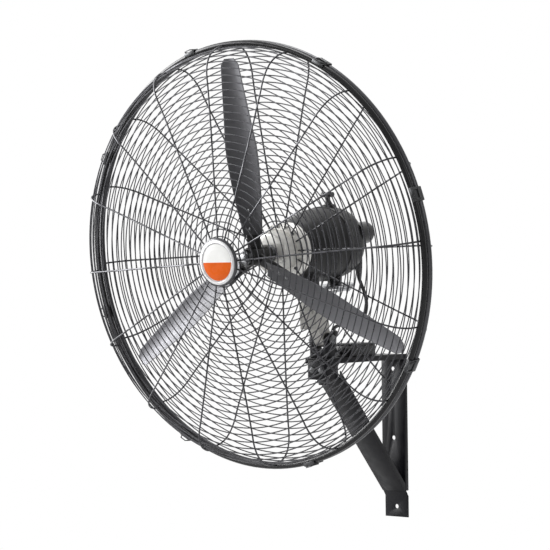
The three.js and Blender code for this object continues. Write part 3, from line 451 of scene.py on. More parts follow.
def badge_finish(name, upper, lower, border, centre, radius):
    """A glossy disc, one tone over another inside a pale border."""
    material, tree, shader = new_material(name)
    place = linked(tree, "ShaderNodeTexCoord").outputs["Object"]
    from_centre = linked(
        tree, "ShaderNodeVectorMath", {0: place, 1: tuple(centre)}, operation="SUBTRACT"
    ).outputs["Vector"]
    height = linked(tree, "ShaderNodeSeparateXYZ", {"Vector": from_centre}).outputs["Z"]
    distance = linked(
        tree, "ShaderNodeVectorMath", {0: from_centre}, operation="LENGTH"
    ).outputs["Value"]
    above = ranged(tree, height, 0.0, 1.0, -HALF_BLUR, HALF_BLUR)
    outside = ranged(tree, distance, 0.0, 1.0, radius - 2 * HALF_BLUR, radius + 2 * HALF_BLUR)
    ink = mixed(tree, above, (*lower, 1), (*upper, 1))
    face = mixed(tree, outside, ink, (*border, 1))
    dust = ranged(tree, noise(tree, place, scale=60.0), 0.94, 1.0)
    tree.links.new(mixed(tree, 1.0, face, dust, "MULTIPLY"), shader.inputs["Base Color"])
    gloss = noise(tree, place, scale=90.0)
    tree.links.new(ranged(tree, gloss, 0.22, 0.36), shader.inputs["Roughness"])
    shader.inputs["Specular IOR Level"].default_value = 0.15
    bumped(tree, shader, noise(tree, place, scale=500.0, detail=2.0), 0.05, distance=0.0001)
    return material


DRAWN_UP, TURNED = (1, 1, 6), (0.1, 1, 0.1)     # how scratches are stretched along each axis

# Each finish: its maker, its colour setting, the share of that colour, and the maker's settings.
FINISHES = {
    "bracket powder coat": (
        coating, "bracket", 1,
        dict(roughness=0.40, grain=900.0, relief=0.18, spread=0.10, shine=0.22),
    ),
    "motor enamel": (
        coating, "motor", 1, dict(roughness=0.32, grain=500.0, spread=0.14, shine=0.35)
    ),
    "guard wire coat": (
        coating, "wire", 1,
        dict(roughness=0.30, metallic=0.7, grain=600.0, relief=0.10, spread=0.10, coat=0.1),
    ),
    "hoop coat": (
        coating, "hoop", 1, dict(roughness=0.28, metallic=0.5, grain=500.0, relief=0.10, coat=0.1)
    ),
    # Painted shade: the hoop coat at a fifth of its tone, a shaded copy of the same coat for the
    # front hoop.
    "dark hoop coat": (
        coating, "hoop", 0.2,
        dict(roughness=0.24, metallic=0.3, grain=500.0, relief=0.10, coat=0.1, shine=0.3),
    ),
    "blade paint": (
        coating, "blade", 1,
        dict(roughness=0.42, metallic=0.80, grain=800.0, relief=0.08, spread=0.08),
    ),
    "turned aluminium": (
        bare_metal, "nose", 1,
        dict(roughness=0.34, stretch=TURNED, grain=300.0, relief=0.15, metal=0.35),
    ),
    "silver rim": (
        bare_metal, "rim", 1, dict(roughness=0.34, grain=300.0, relief=0.06, metal=0.35)
    ),
    "cast aluminium": (
        bare_metal, "casting", 1, dict(roughness=0.45, grain=260.0, relief=0.22, metal=0.4)
    ),
    "dark steel": (
        bare_metal, "zinc", 0.3, dict(roughness=0.30, stretch=DRAWN_UP, grain=320.0, relief=0.08)
    ),
    "zinc plate": (
        bare_metal, "zinc", 1, dict(roughness=0.30, stretch=DRAWN_UP, grain=320.0, relief=0.08)
    ),
    "clip plate": (bare_metal, "zinc", 0.14, dict(roughness=0.34, grain=320.0, relief=0.08)),
    "black plastic": (moulded, "plastic", 1, dict(roughness=0.38)),
    "gloss plastic": (moulded, "plastic", 0.6, dict(roughness=0.16, relief=0.05)),
    "cable jacket": (moulded, "jacket", 1, dict(roughness=0.50, grain=900.0, relief=0.2)),
    "bearing nylon": (moulded, "nylon", 1, dict(roughness=0.55, grain=700.0, relief=0.1)),
}
# Painted shade: the blades' colour is darkened towards their roots, in place of the hub's shadow.
ROOT_PAINTED_SHADE = 0.5                     # share of the blades' tone that is left at their roots


def finish_of(key):
    """The material of that name, made from its colour setting when it is first asked for."""
    made = bpy.data.materials.get(key)
    if made:
        return made
    maker, colour, share, settings = FINISHES[key]
    made = maker(key, toned(getattr(bpy.context.scene.fan_colours, colour), share), **settings)
    # The blades get painted shade, darker towards the hub.
    if key == "blade paint":
        darkened_near(made, HEAD.translation, BLADE_ROOT, BLADE_TIP, ROOT_PAINTED_SHADE)
    return made


# ---- settings -------------------------------------------------------------------------------
def size(name, description, default):
    return bpy.props.FloatProperty(
        name=name, description=description, default=default, min=0.0, unit="LENGTH", precision=4
    )


def tint(name, description, default):
    return bpy.props.FloatVectorProperty(
        name=name, description=description, default=default, min=0.0, max=1.0, size=3,
        subtype="COLOR",
    )


def count(name, description, default):
    return bpy.props.IntProperty(name=name, description=description, default=default, min=1)


def angle(name, description, degrees):
    return bpy.props.FloatProperty(
        name=name, description=description, default=math.radians(degrees), subtype="ANGLE"
    )


class FanGuardSizes(bpy.types.PropertyGroup):
    """Sizes of the wire guard."""
    radials: count("Radial wires", "Radial wires of each half", 16)
    rings: count("Rings", "Ring wires of each half", 29)
    ring_wire: size("Ring wire", "Radius of the ring wires", 0.00118)
    radial_wire: size("Radial wire", "Radius of the radial wires", 0.0017)
    phase: angle("Front phase", "Turn of the front half's first radial wire", 3.1)
    rear_phase: angle("Rear phase", "Turn of the rear half's first radial wire", 1.3)
    shoulder: size("Shoulder", "Radial width of the rounded edge", 0.066)
    roundness: bpy.props.FloatProperty(
        name="Roundness", description="Fullness of the rounded edge; 2 is an ellipse", default=2.4
    )
    front_depth: size("Front depth", "Front half's depth at its shoulder", 0.0604)
    front_crown: size(
        "Front crown", "What the front half rises from its shoulder to its middle", 0.029
    )
    rear_depth: size("Rear depth", "Rear half's depth at its shoulder", 0.0454)
    rear_crown: size(
        "Rear crown", "What the rear half rises from its shoulder to its middle", 0.028
    )


class FanBladeSizes(bpy.types.PropertyGroup):
    """Sizes of the blades."""
    count: count("Blades", "Number of blades", 3)
    phase: angle("Phase", "Turn of the first blade", 1.3)
    wall: size("Sheet", "Thickness of the blade's sheet", 0.0016)
    rivet: size("Rivet head", "Radius of the rivet heads", 0.0036)


class FanColours(bpy.types.PropertyGroup):
    """Colours of the finishes."""
    bracket: tint("Bracket", "Powder coat of the bracket", (0.005, 0.005, 0.0072))
    motor: tint("Motor", "Enamel of the motor and gear case", (0.013, 0.013, 0.0135))
    wire: tint("Wire", "Coat of the guard's wires", (0.058, 0.058, 0.064))
    hoop: tint("Hoops", "Coat of the rim hoops", (0.075, 0.075, 0.081))
    blade: tint("Blades", "Paint of the blades", (0.165, 0.165, 0.176))
    casting: tint("Castings", "Bare cast metal of the neck", (0.42, 0.41, 0.39))
    nose: tint("Nose", "Turned metal of the motor's front", (0.90, 0.885, 0.85))
    rim: tint("Badge rim", "Silver ring round the badge", (0.80, 0.80, 0.81))
    zinc: tint("Zinc", "Plated bolts, clips and links", (0.60, 0.61, 0.63))
    plastic: tint("Plastic", "Black plastic", (0.014, 0.014, 0.015))
    jacket: tint("Jacket", "Jacket of the motor's cable", (0.012, 0.012, 0.013))
    nylon: tint("Nylon", "Washer of the swivel", (0.70, 0.67, 0.60))
    badge_upper: tint("Badge upper half", "Upper tone of the badge", (0.97, 0.97, 0.95))
    badge_lower: tint("Badge lower half", "Lower tone of the badge", (0.80, 0.13, 0.012))
    badge_border: tint("Badge border", "Border of the badge", (0.72, 0.72, 0.72))


# ---- camera, lights and floor ---------------------------------------------------------------
CAMERA_PLACE = Vector((2.6037, -3.5363, 0.4659))
CAMERA_RIGHT = Vector((0.7705, 0.6373, -0.0130))
CAMERA_UP = Vector((0.0100, 0.0083, 0.9999))
SENSOR = 36.0
FOCAL_SHARE = 2117 / 550            # focal length as a share of the frame's width


def add_camera():
    camera = bpy.data.cameras.new("camera")
    camera.sensor_width = SENSOR
    camera.lens = FOCAL_SHARE * SENSOR
    camera.clip_end = 50
    seen = bpy.data.objects.new("camera", camera)
    right = CAMERA_RIGHT.normalized()
    back = right.cross(CAMERA_UP).normalized()
    up = back.cross(right)
    axes = Matrix((right, up, back)).transposed().to_4x4()
    seen.matrix_world = Matrix.Translation(CAMERA_PLACE) @ axes
    bpy.context.scene.collection.objects.link(seen)
    bpy.context.scene.camera = seen


# Each lamp's name, place, power in watts and width. All of them look at the fan's middle.
LAMPS = (
    ("key", (-2.6, -1.9, 1.7), 66, 1.5),
    ("fill", (2.8, -1.2, 1.4), 13, 1.6),
    ("top", (-0.4, -0.2, 3.2), 30, 1.4),
)


def add_lamp(name, place, power, width):
    lamp = bpy.data.lights.new(name, "AREA")
    lamp.energy = power
    lamp.shape = "DISK"
    lamp.size = width
    holder = bpy.data.objects.new(name, lamp)
    aim = ((cad_low + cad_high) / 2 - Vector(place)).to_track_quat("-Z", "Y")
    holder.matrix_world = Matrix.Translation(place) @ aim.to_matrix().to_4x4()
    bpy.context.scene.collection.objects.link(holder)


# Lights of the sky: the least and the most, and the cosines to a direction between which it grows.
SKY_LIGHT, SKY_RANGE = Vector((-0.50, -0.35, 0.79)), (0.05, 0.75, -0.3, 0.9)
REAR_LIGHT, REAR_RANGE = Vector((0, 1, 0)), (0.0, 0.55, 0.1, 0.7)
# A white card that only shows in reflections: its direction, light, round edge and level foot.
CARD = Vector((-0.95, -0.27, 0.13)).normalized()
CARD_LIGHT = 6.0
CARD_EDGE, CARD_CORE = math.cos(math.radians(39)), math.cos(math.radians(31))
CARD_FOOT, CARD_SOLID = -0.24, -0.10            # heights between which its foot fades in


def add_world():
    world = bpy.data.worlds.new("studio")
    world.use_nodes = True
    bpy.context.scene.world = world
    tree = world.node_tree
    tree.nodes.clear()
    seen = linked(tree, "ShaderNodeLightPath").outputs
    way = linked(tree, "ShaderNodeTexCoord").outputs["Generated"]

    def facing(direction, low, high, start, end):
        toward = linked(
            tree, "ShaderNodeVectorMath", {0: way, 1: direction}, operation="DOT_PRODUCT"
        ).outputs["Value"]
        return ranged(tree, toward, low, high, start, end)

    def combined(first, second, operation):
        return linked(
            tree, "ShaderNodeMath", {0: first, 1: second}, operation=operation
        ).outputs["Value"]

    sky = facing(SKY_LIGHT, *SKY_RANGE)
    behind = facing(REAR_LIGHT, *REAR_RANGE)
    card = facing(CARD, 0.0, CARD_LIGHT, CARD_EDGE, CARD_CORE)
    foot = facing(Vector((0, 0, 1)), 0.0, 1.0, CARD_FOOT, CARD_SOLID)
    shown = combined(combined(card, foot, "MULTIPLY"), seen["Is Glossy Ray"], "MULTIPLY")
    total = combined(combined(sky, behind, "ADD"), shown, "ADD")
    soft = linked(tree, "ShaderNodeBackground", {"Color": WHITE, "Strength": total})
    plain = linked(tree, "ShaderNodeBackground", {"Color": WHITE, "Strength": 1.0})
    both = linked(
        tree, "ShaderNodeMixShader",
        {0: seen["Is Camera Ray"], 1: soft.outputs[0], 2: plain.outputs[0]},
    )
    linked(tree, "ShaderNodeOutputWorld", {"Surface": both.outputs[0]})


FLOOR_SIZE, FLOOR_DROP = 16, 0.35
FLOOR_TONE, FLOOR_ROUGHNESS = 0.76, 0.8


def add_floor():
    deselect()
    bpy.ops.mesh.primitive_plane_add(size=FLOOR_SIZE, location=(0, 0, cad_low.z - FLOOR_DROP))
    floor = bpy.context.active_object
    settle(floor)
    floor.name = "floor"
    material, tree, shader = new_material("floor white")
    shader.inputs["Base Color"].default_value = (FLOOR_TONE, FLOOR_TONE, FLOOR_TONE, 1)
    shader.inputs["Roughness"].default_value = FLOOR_ROUGHNESS
    seen = linked(tree, "ShaderNodeLightPath")
    glow = linked(tree, "ShaderNodeEmission", {"Color": WHITE, "Strength": 1.0})
    both = linked(
        tree, "ShaderNodeMixShader",
        {0: seen.outputs["Is Camera Ray"], 1: shader.outputs[0], 2: glow.outputs[0]},
    )
    tree.links.new(both.outputs[0], tree.nodes["Material Output"].inputs["Surface"])
    floor.data.materials.append(material)


class FanStage(bpy.types.Operator):
    """Adds the camera, the lights and the floor"""
    bl_idname = "wall_fan.stage"
    bl_label = "Stage"

    def execute(self, context):
        context.scene.view_settings.view_transform = "Standard"
        add_camera()
        add_world()
        for lamp in LAMPS:
            add_lamp(*lamp)
        add_floor()
        return {"FINISHED"}


# ---- cables ---------------------------------------------------------------------------------
CABLE_RADIUS = 0.0035
CABLE_SPANS = 4                     # points between two places of a route
BELOW_GLAND = (0, 0.005, 0.012)     # the first places, straight down from the gland
ABOVE_CLIP, BELOW_CLIP = (0.011, 0.006, 0.001), (-0.001, -0.006)    # the places at the clip
GLAND_MOUTH = Vector((0.040, 0.282, -0.0623))      # in the head's frame
CLIP_EYE = Vector((0.012, -0.220, 0.348))
HEAD_UP = HEAD.to_3x3() @ Vector((0, 0, 1))
UPPER_ROUTE = [
    (0.0415, -0.168, 0.444), (0.042, -0.159, 0.428), (0.041, -0.152, 0.411),
    (0.038, -0.149, 0.394), (0.034, -0.152, 0.379), (0.028, -0.162, 0.368),
    (0.022, -0.176, 0.363), (0.017, -0.191, 0.363), (0.0135, -0.206, 0.364),
]
LOWER_ROUTE = [
    (0.011, -0.218, 0.334), (0.0085, -0.216, 0.325), (0.005, -0.211, 0.317),
    (0.002, -0.203, 0.3125), (0, -0.1963, 0.3113), (0, -0.1923, 0.3113), (0, -0.1886, 0.3113),
]


def below_motor(drop):
    return HEAD @ (GLAND_MOUTH - Vector((0, 0, drop)))


def at_clip(rise):
    return CLIP_EYE + HEAD_UP * rise


def curve_through(points):
    """Points on a smooth curve through all of these, with a few to each span."""
    points = [Vector(point) for point in points]
    padded = [2 * points[0] - points[1], *points, 2 * points[-1] - points[-2]]
    found = []
    for a, b, c, d in zip(padded, padded[1:], padded[2:], padded[3:]):
        for step in range(CABLE_SPANS):
            t = step / CABLE_SPANS
            found.append(
                0.5 * ((2 * b) + (c - a) * t + (2 * a - 5 * b + 4 * c - d) * t * t
                       + (3 * b - a - 3 * c + d) * t ** 3)
            )
    return [*found, points[-1]]


def run_length(points):
    return sum((b - a).length for a, b in zip(points, points[1:]))


def cable(points, name, node):
    piece = wire(points, CABLE_RADIUS, 4)
    finished(piece, name, None, finish_of("cable jacket"), [node], angle=60)
    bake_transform(piece)


class FanCables(bpy.types.Operator):
    """Adds the motor's cable, from its gland to the clip and on into the box"""
    bl_idname = "wall_fan.cables"
    bl_label = "Cables"

    def execute(self, context):
        upper = curve_through([
            *map(below_motor, BELOW_GLAND), *UPPER_ROUTE, *map(at_clip, ABOVE_CLIP),
        ])
        lower = curve_through([*map(at_clip, BELOW_CLIP), *LOWER_ROUTE])
        cable(
            upper, "cable_to_clip", "motor_cable_upper"
        )
        cable(
            lower, "cable_to_box", "motor_cable_lower"
        )
        return {"FINISHED"}


# ---- guard ----------------------------------------------------------------------------------
GUARD_EDGE = 0.4012                 # where the wires meet the hoops
FRONT_BASE, REAR_BASE = 0.0030, 0.0178          # depths that the halves start from
FRONT_CENTRE, REAR_CENTRE = 0.034, 0.046        # where the radial wires end, round the middle
FRONT_FIRST_RING, REAR_FIRST_RING = 0.048, 0.060
CROWN_CURVE = 1.15                  # 1 is a cone
WELD = 0.9                          # how close a ring lies to its radial wires; 1 only touches
RING_STEPS, RING_FACES = 128, 6


def guard_line(sizes, centre, depth, crown, steps=24):
    """Radius and depth along a guard half, from its middle out to the hoop."""
    knee = GUARD_EDGE - sizes.shoulder
    points = []
    for k in range(steps):
        s = k / steps
        rise = crown * (1 - s) ** CROWN_CURVE
        points.append(Vector((centre + (knee - centre) * s, depth + rise)))
    for k in range(steps + 1):
        a = math.pi / 2 * k / steps
        out = math.sin(a) ** (2 / sizes.roundness)
        down = max(math.cos(a), 0) ** (2 / sizes.roundness)
        points.append(Vector((knee + sizes.shoulder * out, max(depth * down, sizes.ring_wire))))
    return points


def along(points, distance):
    """The point at that distance along a line, and the direction there."""
    for a, b in zip(points, points[1:]):
        step = (b - a).length
        if distance <= step:
            return a + (b - a) * (distance / step), (b - a) / step
        distance -= step
    return points[-1], (points[-1] - points[-2]).normalized()


def guard_half(sizes, name, node, line_points, sign, base, phase, first_ring):
    total = run_length(line_points)
    radial = wire(
        [(0, base + sign * depth, radius) for radius, depth in line_points], sizes.radial_wire, 1
    )
    turns = [-(phase + FULL_TURN * i / sizes.radials) for i in range(sizes.radials)]
    pieces = turned_copies(radial, turns)
    inset = (sizes.ring_wire + sizes.radial_wire) * WELD
    start = first_ring - line_points[0].x
    for k in range(sizes.rings):
        at, heading = along(line_points, start + (total - start) * k / (sizes.rings - 0.5))
        radius = at.x + heading.y * inset
        depth = at.y - heading.x * inset
        pieces.append(
            ring_round_shaft(base + sign * depth, radius, sizes.ring_wire, RING_STEPS, RING_FACES)
        )
    finished(
        joined(*pieces), name, "head", finish_of("guard wire coat"), [node], HEAD, 60
    )


class FanGuards(bpy.types.Operator):
    """Adds both halves of the wire guard"""
    bl_idname = "wall_fan.guards"
    bl_label = "Wire guard"

    def execute(self, context):
        sizes = context.scene.fan_guard
        front = guard_line(sizes, FRONT_CENTRE, sizes.front_depth, sizes.front_crown)
        rear = guard_line(sizes, REAR_CENTRE, sizes.rear_depth, sizes.rear_crown)
        guard_half(
            sizes, "guard_front_wires", "front_guard", front, -1, FRONT_BASE, sizes.phase,
            FRONT_FIRST_RING,
        )
        guard_half(
            sizes, "guard_rear_wires", "rear_guard", rear, 1, REAR_BASE, sizes.rear_phase,
            REAR_FIRST_RING,
        )
        return {"FINISHED"}


# ---- rim ------------------------------------------------------------------------------------
HOOP_TUBE = 0.0054                  # radius of the hoops' tube
HOOP_STAND = 0.0004                 # what the tubes stand out past their solids, front and rear
HOOP_STEPS, HOOP_FACES = 160, 16
HOOPS = {
    # node: side of the rim, finish
    # the front hoop wears the hoop coat darkened as painted shade
    "front_rim_hoop": (-1, "dark hoop coat"),
    "rear_rim_hoop": (1, "hoop coat"),
}
CLIPS = range(1, 9)
CLIP_SHEET, CLIP_WIRE = 0.0014, 0.0011
CLIP_HALF = 0.013                   # half the clip's length along the hoop
CLIP_HOOK = 0.007                   # what it reaches in over the hoops' faces
CLIP_GAP, CLIP_BEND = 0.0003, 0.001
ARM, GRIP, HINGE = 0.7 * CLIP_HALF, 0.45 * CLIP_HALF, 0.85 * CLIP_HALF
LEVER_REACH, LEVER_LIFT = 0.004, 0.0008


def rim_clip(node):
    """A pressed strap over both hoops with its wire lever, turned to its node's place."""
    front = head_box("front_rim_hoop")[0].y - HOOP_STAND - CLIP_SHEET / 2
    high = head_box("rear_rim_hoop")[1]
    rear, crest = high.y + HOOP_STAND + CLIP_SHEET / 2, high.x + CLIP_SHEET / 2 + CLIP_GAP
    strap = line([
        (-CLIP_HALF, front, crest - CLIP_HOOK), (-CLIP_HALF, front, crest - CLIP_BEND),
        (-CLIP_HALF, front + CLIP_BEND, crest), (-CLIP_HALF, rear - CLIP_BEND, crest),
        (-CLIP_HALF, rear, crest - CLIP_BEND), (-CLIP_HALF, rear, crest - CLIP_HOOK),
    ])
    bpy.ops.mesh.select_all(action="SELECT")
    bpy.ops.mesh.extrude_region_move(TRANSFORM_OT_translate={"value": (2 * CLIP_HALF, 0, 0)})
    clean_mesh()
    modifier(strap, "SOLIDIFY", thickness=CLIP_SHEET, offset=0)
    bevelled(strap, CLIP_SHEET * 0.25)
    top, middle = crest + CLIP_SHEET / 2 + CLIP_WIRE * WELD, (front + rear) / 2
    tip, lifted = front - LEVER_REACH, top + LEVER_LIFT
    lever = wire([
        (-ARM, middle, top), (-ARM, front + CLIP_BEND, top), (-GRIP, tip, lifted),
        (GRIP, tip, lifted), (ARM, front + CLIP_BEND, top), (ARM, middle, top),
    ], CLIP_WIRE)
    hinge = wire([(-HINGE, middle, top), (HINGE, middle, top)], CLIP_WIRE * 1.3)
    clip = joined(strap, lever, hinge)
    corners = [HEAD.inverted() @ vertex.co for vertex in NODES[node].data.vertices]
    turn = math.atan2(sum(corner.x for corner in corners), sum(corner.z for corner in corners))
    return turned_copies(clip, [turn])[0]


class FanRim(bpy.types.Operator):
    """Adds the two hoops of the rim and the clips over them"""
    bl_idname = "wall_fan.rim"
    bl_label = "Rim and clips"

    def execute(self, context):
        for node, (side, coat) in HOOPS.items():
            low, high = head_box(node)
            face = low.y if side < 0 else high.y
            hoop = ring_round_shaft(
                face + side * (HOOP_STAND - HOOP_TUBE), high.x - HOOP_TUBE, HOOP_TUBE,
                HOOP_STEPS, HOOP_FACES,
            )
            finished(hoop, node + "_rolled", "head", finish_of(coat), [node], HEAD)
        for number in CLIPS:
            node = f"rim_clip_{number}"
            finished(
                rim_clip(node), node + "_pressed", "head", finish_of("clip plate"),
                [node], HEAD,
            )
        return {"FINISHED"}


# ---- badge ----------------------------------------------------------------------------------
BADGE_BACK = 0.0010                 # thickness of the dark plate behind the badge
LIP_WIDTH = 0.0052                  # what the ring's lip reaches in over the disc
# Profiles: what each place lies out past the lip, and back from the badge's front.
RING_PROFILE = (
    (0, 0.0020), (0.0005, 0.0008), (0.0016, 0), (0.0048, 0.0002), (0.0062, 0.0012),
    (0.0066, 0.0022),
)
GROOVE_PROFILE = ((0.0067, 0.0016), (0.0072, 0.0011))
# What each place lies in from the rim's edge, and back from the badge's front.
RIM_PROFILE = ((0.0012, 0.0018), (0.0003, 0.0028), (0, 0.0040))
RIM_CHAMFER = 0.001
DISC_DEPTH, DISC_EDGE, DISC_BULGE, DISC_ROUND = 0.0016, 0.0002, 0.0006, 0.001
DISC_MIDDLE = (0.6, 0.0004)         # a place on its face: share of the radius, and rise
BORDER_WIDTH = 0.0014


class FanBadge(bpy.types.Operator):
    """Adds the round badge in the middle of the guard"""
    bl_idname = "wall_fan.badge"
    bl_label = "Badge"

    def execute(self, context):
        colours = context.scene.fan_colours
        low, high = head_box("badge_bezel")
        outer, front, back = high.x, low.y, high.y
        lip = head_box("badge_plate")[1].x - LIP_WIDTH
        inside = back - BADGE_BACK
        ring = lathe(
            [(lip, inside), *[(lip + out, front + drop) for out, drop in RING_PROFILE],
             (lip + RING_PROFILE[-1][0], inside), (lip, inside)], LARGE,
        )
        finished(ring, "badge_ring", "head", finish_of("silver rim"), place=HEAD)
        floor = inside + 0.0001
        shell = lathe(
            [(0, floor), (lip + GROOVE_PROFILE[0][0], floor),
             *[(lip + out, front + drop) for out, drop in GROOVE_PROFILE],
             *[(outer - inward, front + drop) for inward, drop in RIM_PROFILE],
             (outer, back - RIM_CHAMFER), (outer - RIM_CHAMFER, back), (0, back)], LARGE,
        )
        finished(
            shell, "badge_rim", "head", finish_of("hoop coat"), ["badge_bezel"], HEAD
        )
        face, edge = front + DISC_DEPTH, lip - DISC_EDGE
        disc = lathe(
            [(0, inside), (edge, inside), (edge, face + DISC_BULGE), (edge - DISC_ROUND, face),
             (edge * DISC_MIDDLE[0], face - DISC_MIDDLE[1]), (0, face - DISC_BULGE)], LARGE,
        )
        material = badge_finish(
            "badge face", colours.badge_upper, colours.badge_lower, colours.badge_border,
            HEAD @ Vector((0, face, 0)), edge - BORDER_WIDTH,
        )
        finished(disc, "badge_disc", "head", material, ["badge_plate"], HEAD)
        return {"FINISHED"}


# ---- blades and hub -------------------------------------------------------------------------
BLADE_ROOT, BLADE_TIP = 0.040, 0.378
ROOT_CHORD, MAX_CHORD, TIP_CHORD = 0.036, 0.065, 0.036
ROOT_PITCH, TIP_PITCH = math.radians(30), math.radians(13)
BLADE_CAMBER = 0.09
BLADE_MIDDLE = 0.015
BLADE_LEAN, LEAN_CENTRE = 0.016, 0.4
# The last share of the blade that is rounded, and what its tip loses there.
ROUNDED_FROM, ROUNDED_SHARE, TIP_LOSS = 0.95, 0.05, 0.45
RIVETS = (0.052, 0.070, 0.088)      # their distances from the axis
RIVET_HEIGHT = 0.45                 # as a share of their radius
HUB_BEVEL = 0.0008


def chord_at(share):
    rise = (MAX_CHORD - ROOT_CHORD) * math.sin(math.pi * min(share, 0.5))
    fall = (MAX_CHORD - TIP_CHORD) * max(2 * share - 1, 0)
    return ROOT_CHORD + rise - fall


def blade_sheet(sizes, steps=30, across=14):
    """One pressed blade standing up from the axis, drawn out from its root section."""
    face = BLADE_MIDDLE - BLADE_CAMBER * MAX_CHORD
    span = BLADE_TIP - BLADE_ROOT
    chord = chord_at(0)
    section = []
    for k in range(across + 1):
        u = k / across - 0.5
        bow = 4 * BLADE_CAMBER * chord * (0.25 - u * u)
        section.append((u * chord + BLADE_LEAN * LEAN_CENTRE, bow + face, BLADE_ROOT))
    line(section)
    bpy.ops.mesh.select_all(action="SELECT")
    root = (BLADE_LEAN * LEAN_CENTRE, face, BLADE_ROOT)
    bpy.ops.transform.rotate(value=-ROOT_PITCH, orient_axis="Z", center_override=root)
    turned = 0.0
    for step in range(1, steps + 1):
        share = step / steps
        rounding = 1 - TIP_LOSS * max(0, (share - ROUNDED_FROM) / ROUNDED_SHARE) ** 3
        width = chord_at(share) * rounding
        turn = (ROOT_PITCH - TIP_PITCH) * math.sqrt(share)
        centre = (BLADE_LEAN * (LEAN_CENTRE - share), face, BLADE_ROOT + span * share)
        forward = (-BLADE_LEAN / steps, 0, span / steps)
        bpy.ops.mesh.extrude_region_move(TRANSFORM_OT_translate={"value": forward})
        bpy.ops.transform.resize(value=(width / chord, width / chord, 1), center_override=centre)
        bpy.ops.transform.rotate(value=turn - turned, orient_axis="Z", center_override=centre)
        chord, turned = width, turn
    piece = clean_mesh()
    modifier(piece, "SOLIDIFY", thickness=sizes.wall, offset=0)
    return bevelled(piece, sizes.wall * 0.3, 2, 60)


class FanBlades(bpy.types.Operator):
    """Adds the pressed blades and the hub that carries them"""
    bl_idname = "wall_fan.blades"
    bl_label = "Blades and hub"

    def execute(self, context):
        sizes = context.scene.fan_blades
        turns = [-(sizes.phase + FULL_TURN * i / sizes.count) for i in range(sizes.count)]
        blades = turned_copies(blade_sheet(sizes), turns)
        for number, piece in enumerate(blades, 1):
            node = f"blade_{number}"
            finished(
                piece, node + "_sheet", "rotor", finish_of("blade paint"), [node],
                HEAD, 50,
            )
        hub = bevelled(from_solid("blade_hub"), HUB_BEVEL)
        enamel = finish_of("motor enamel")
        finished(hub, "hub_spider", "rotor", enamel, ["blade_hub"])
        head = round_head(sizes.rivet, sizes.rivet * RIVET_HEIGHT)
        places = []
        for turn in turns:
            for reach in RIVETS:
                x, z = reach * math.sin(turn), reach * math.cos(turn)
                places.append(Matrix.Translation((x, struck([*blades, hub], x, z), z)))
        finished(
            joined(*copies_at(head, places)), "spider_rivets", "rotor",
            finish_of("dark steel"), place=HEAD,
        )
        return {"FINISHED"}


# ---- motor ----------------------------------------------------------------------------------
# Depths and radii of the bell and the drum.
BELL_FRONT, BELL_REAR, DRUM_SHOULDER, DRUM_REAR = 0.097, 0.160, 0.195, 0.2317
BELL_FACE, DRUM_RADIUS = 0.044, 0.072
SHELL_CURVE, SHELL_GAP = 0.85, 0.0003           # 1 is a cone; what parts the bell and the drum
BELL_EDGE, CAP_EDGE = 0.0008, 0.0006            # what the edges of the bell and its cap lose
FLANGE = DRUM_REAR - 0.007
CAP_REAR, CAP_WALL, CAP_SUNK, NOSE_EDGE = 0.122, 0.0008, 0.0004, 0.0392
SWIVEL_PLACE, GEAR_PLACE = (0, 0.178, 0), (0, 0.254, 0)
CAN_PLACE = (0.050, 0, 0.014)
CASE_FRONT, CASE_LENGTH, CASE_FLAT = 0.232, 0.060, 0.35         # the case is straight at first
CASE_EDGE, CASE_ROUND, CASE_BULGE = 0.046, 0.025, 0.039         # and then its end is round
CASE_STEPS = 14

# Profiles of the turned pieces: radius and place along the axis, in the head's frame.
NOSE_PROFILE = [
    (0.0085, 0.068), (0.0165, 0.068), (0.0172, 0.0605), (0.034, 0.060), (0.0375, 0.0608),
    (0.0395, 0.063), (0.040, 0.066), (0.040, 0.0945), (0.0385, 0.0962), (0.0085, 0.0967),
]
FLANGE_PROFILE = [
    (DRUM_RADIUS, FLANGE - 0.001), (0.0726, FLANGE), (0.0740, FLANGE + 0.0003),
    (0.0745, FLANGE + 0.001), (0.0745, DRUM_REAR - 0.001), (0.0738, DRUM_REAR), (0, DRUM_REAR),
]
SWIVEL_BOSS_PROFILE = [
    (0, -0.060), (0.017, -0.060), (0.017, -0.0990), (0.0162, -0.1004), (0.0099, -0.1004),
    (0.0099, -0.0795), (0, -0.0795),
]
CASE_PROFILE = [(0, 0.2323), (0.0702, 0.2323), (0.071, 0.2332)]
KNOB_BOSS_PROFILE = [
    (0, 0.05), (0.014, 0.05), (0.014, 0.0745), (0.0125, 0.076), (0.0056, 0.076), (0.0056, 0.06),
    (0, 0.06),
]
CRANK_BOSS_PROFILE = [
    (0, -0.05), (0.014, -0.05), (0.014, -0.0825), (0.0125, -0.084), (0.0066, -0.084),
    (0.0066, -0.07), (0, -0.07),
]
COVER_PROFILE = [
    (0, 0.2925), (0.0455, 0.2925), (0.046, 0.2935), (0.0445, 0.2990), (0.0425, 0.3018),
    (0.038, 0.3036), (0.033, 0.304), (0, 0.304),
]
CAN_PROFILE = [
    (0, 0.268), (0.022, 0.268), (0.022, 0.3005), (0.0213, 0.3035), (0.0195, 0.3053),
    (0.0165, 0.306), (0, 0.306),
]


def shell_curve(start, end, steps=10):
    """The motor's shell, from the bell's face back to its full radius."""
    points = []
    for k in range(steps + 1):
        y = start + (end - start) * k / steps
        share = min((y - BELL_FRONT) / (DRUM_SHOULDER - BELL_FRONT), 1)
        points.append((BELL_FACE + (DRUM_RADIUS - BELL_FACE) * share ** SHELL_CURVE, y))
    return points


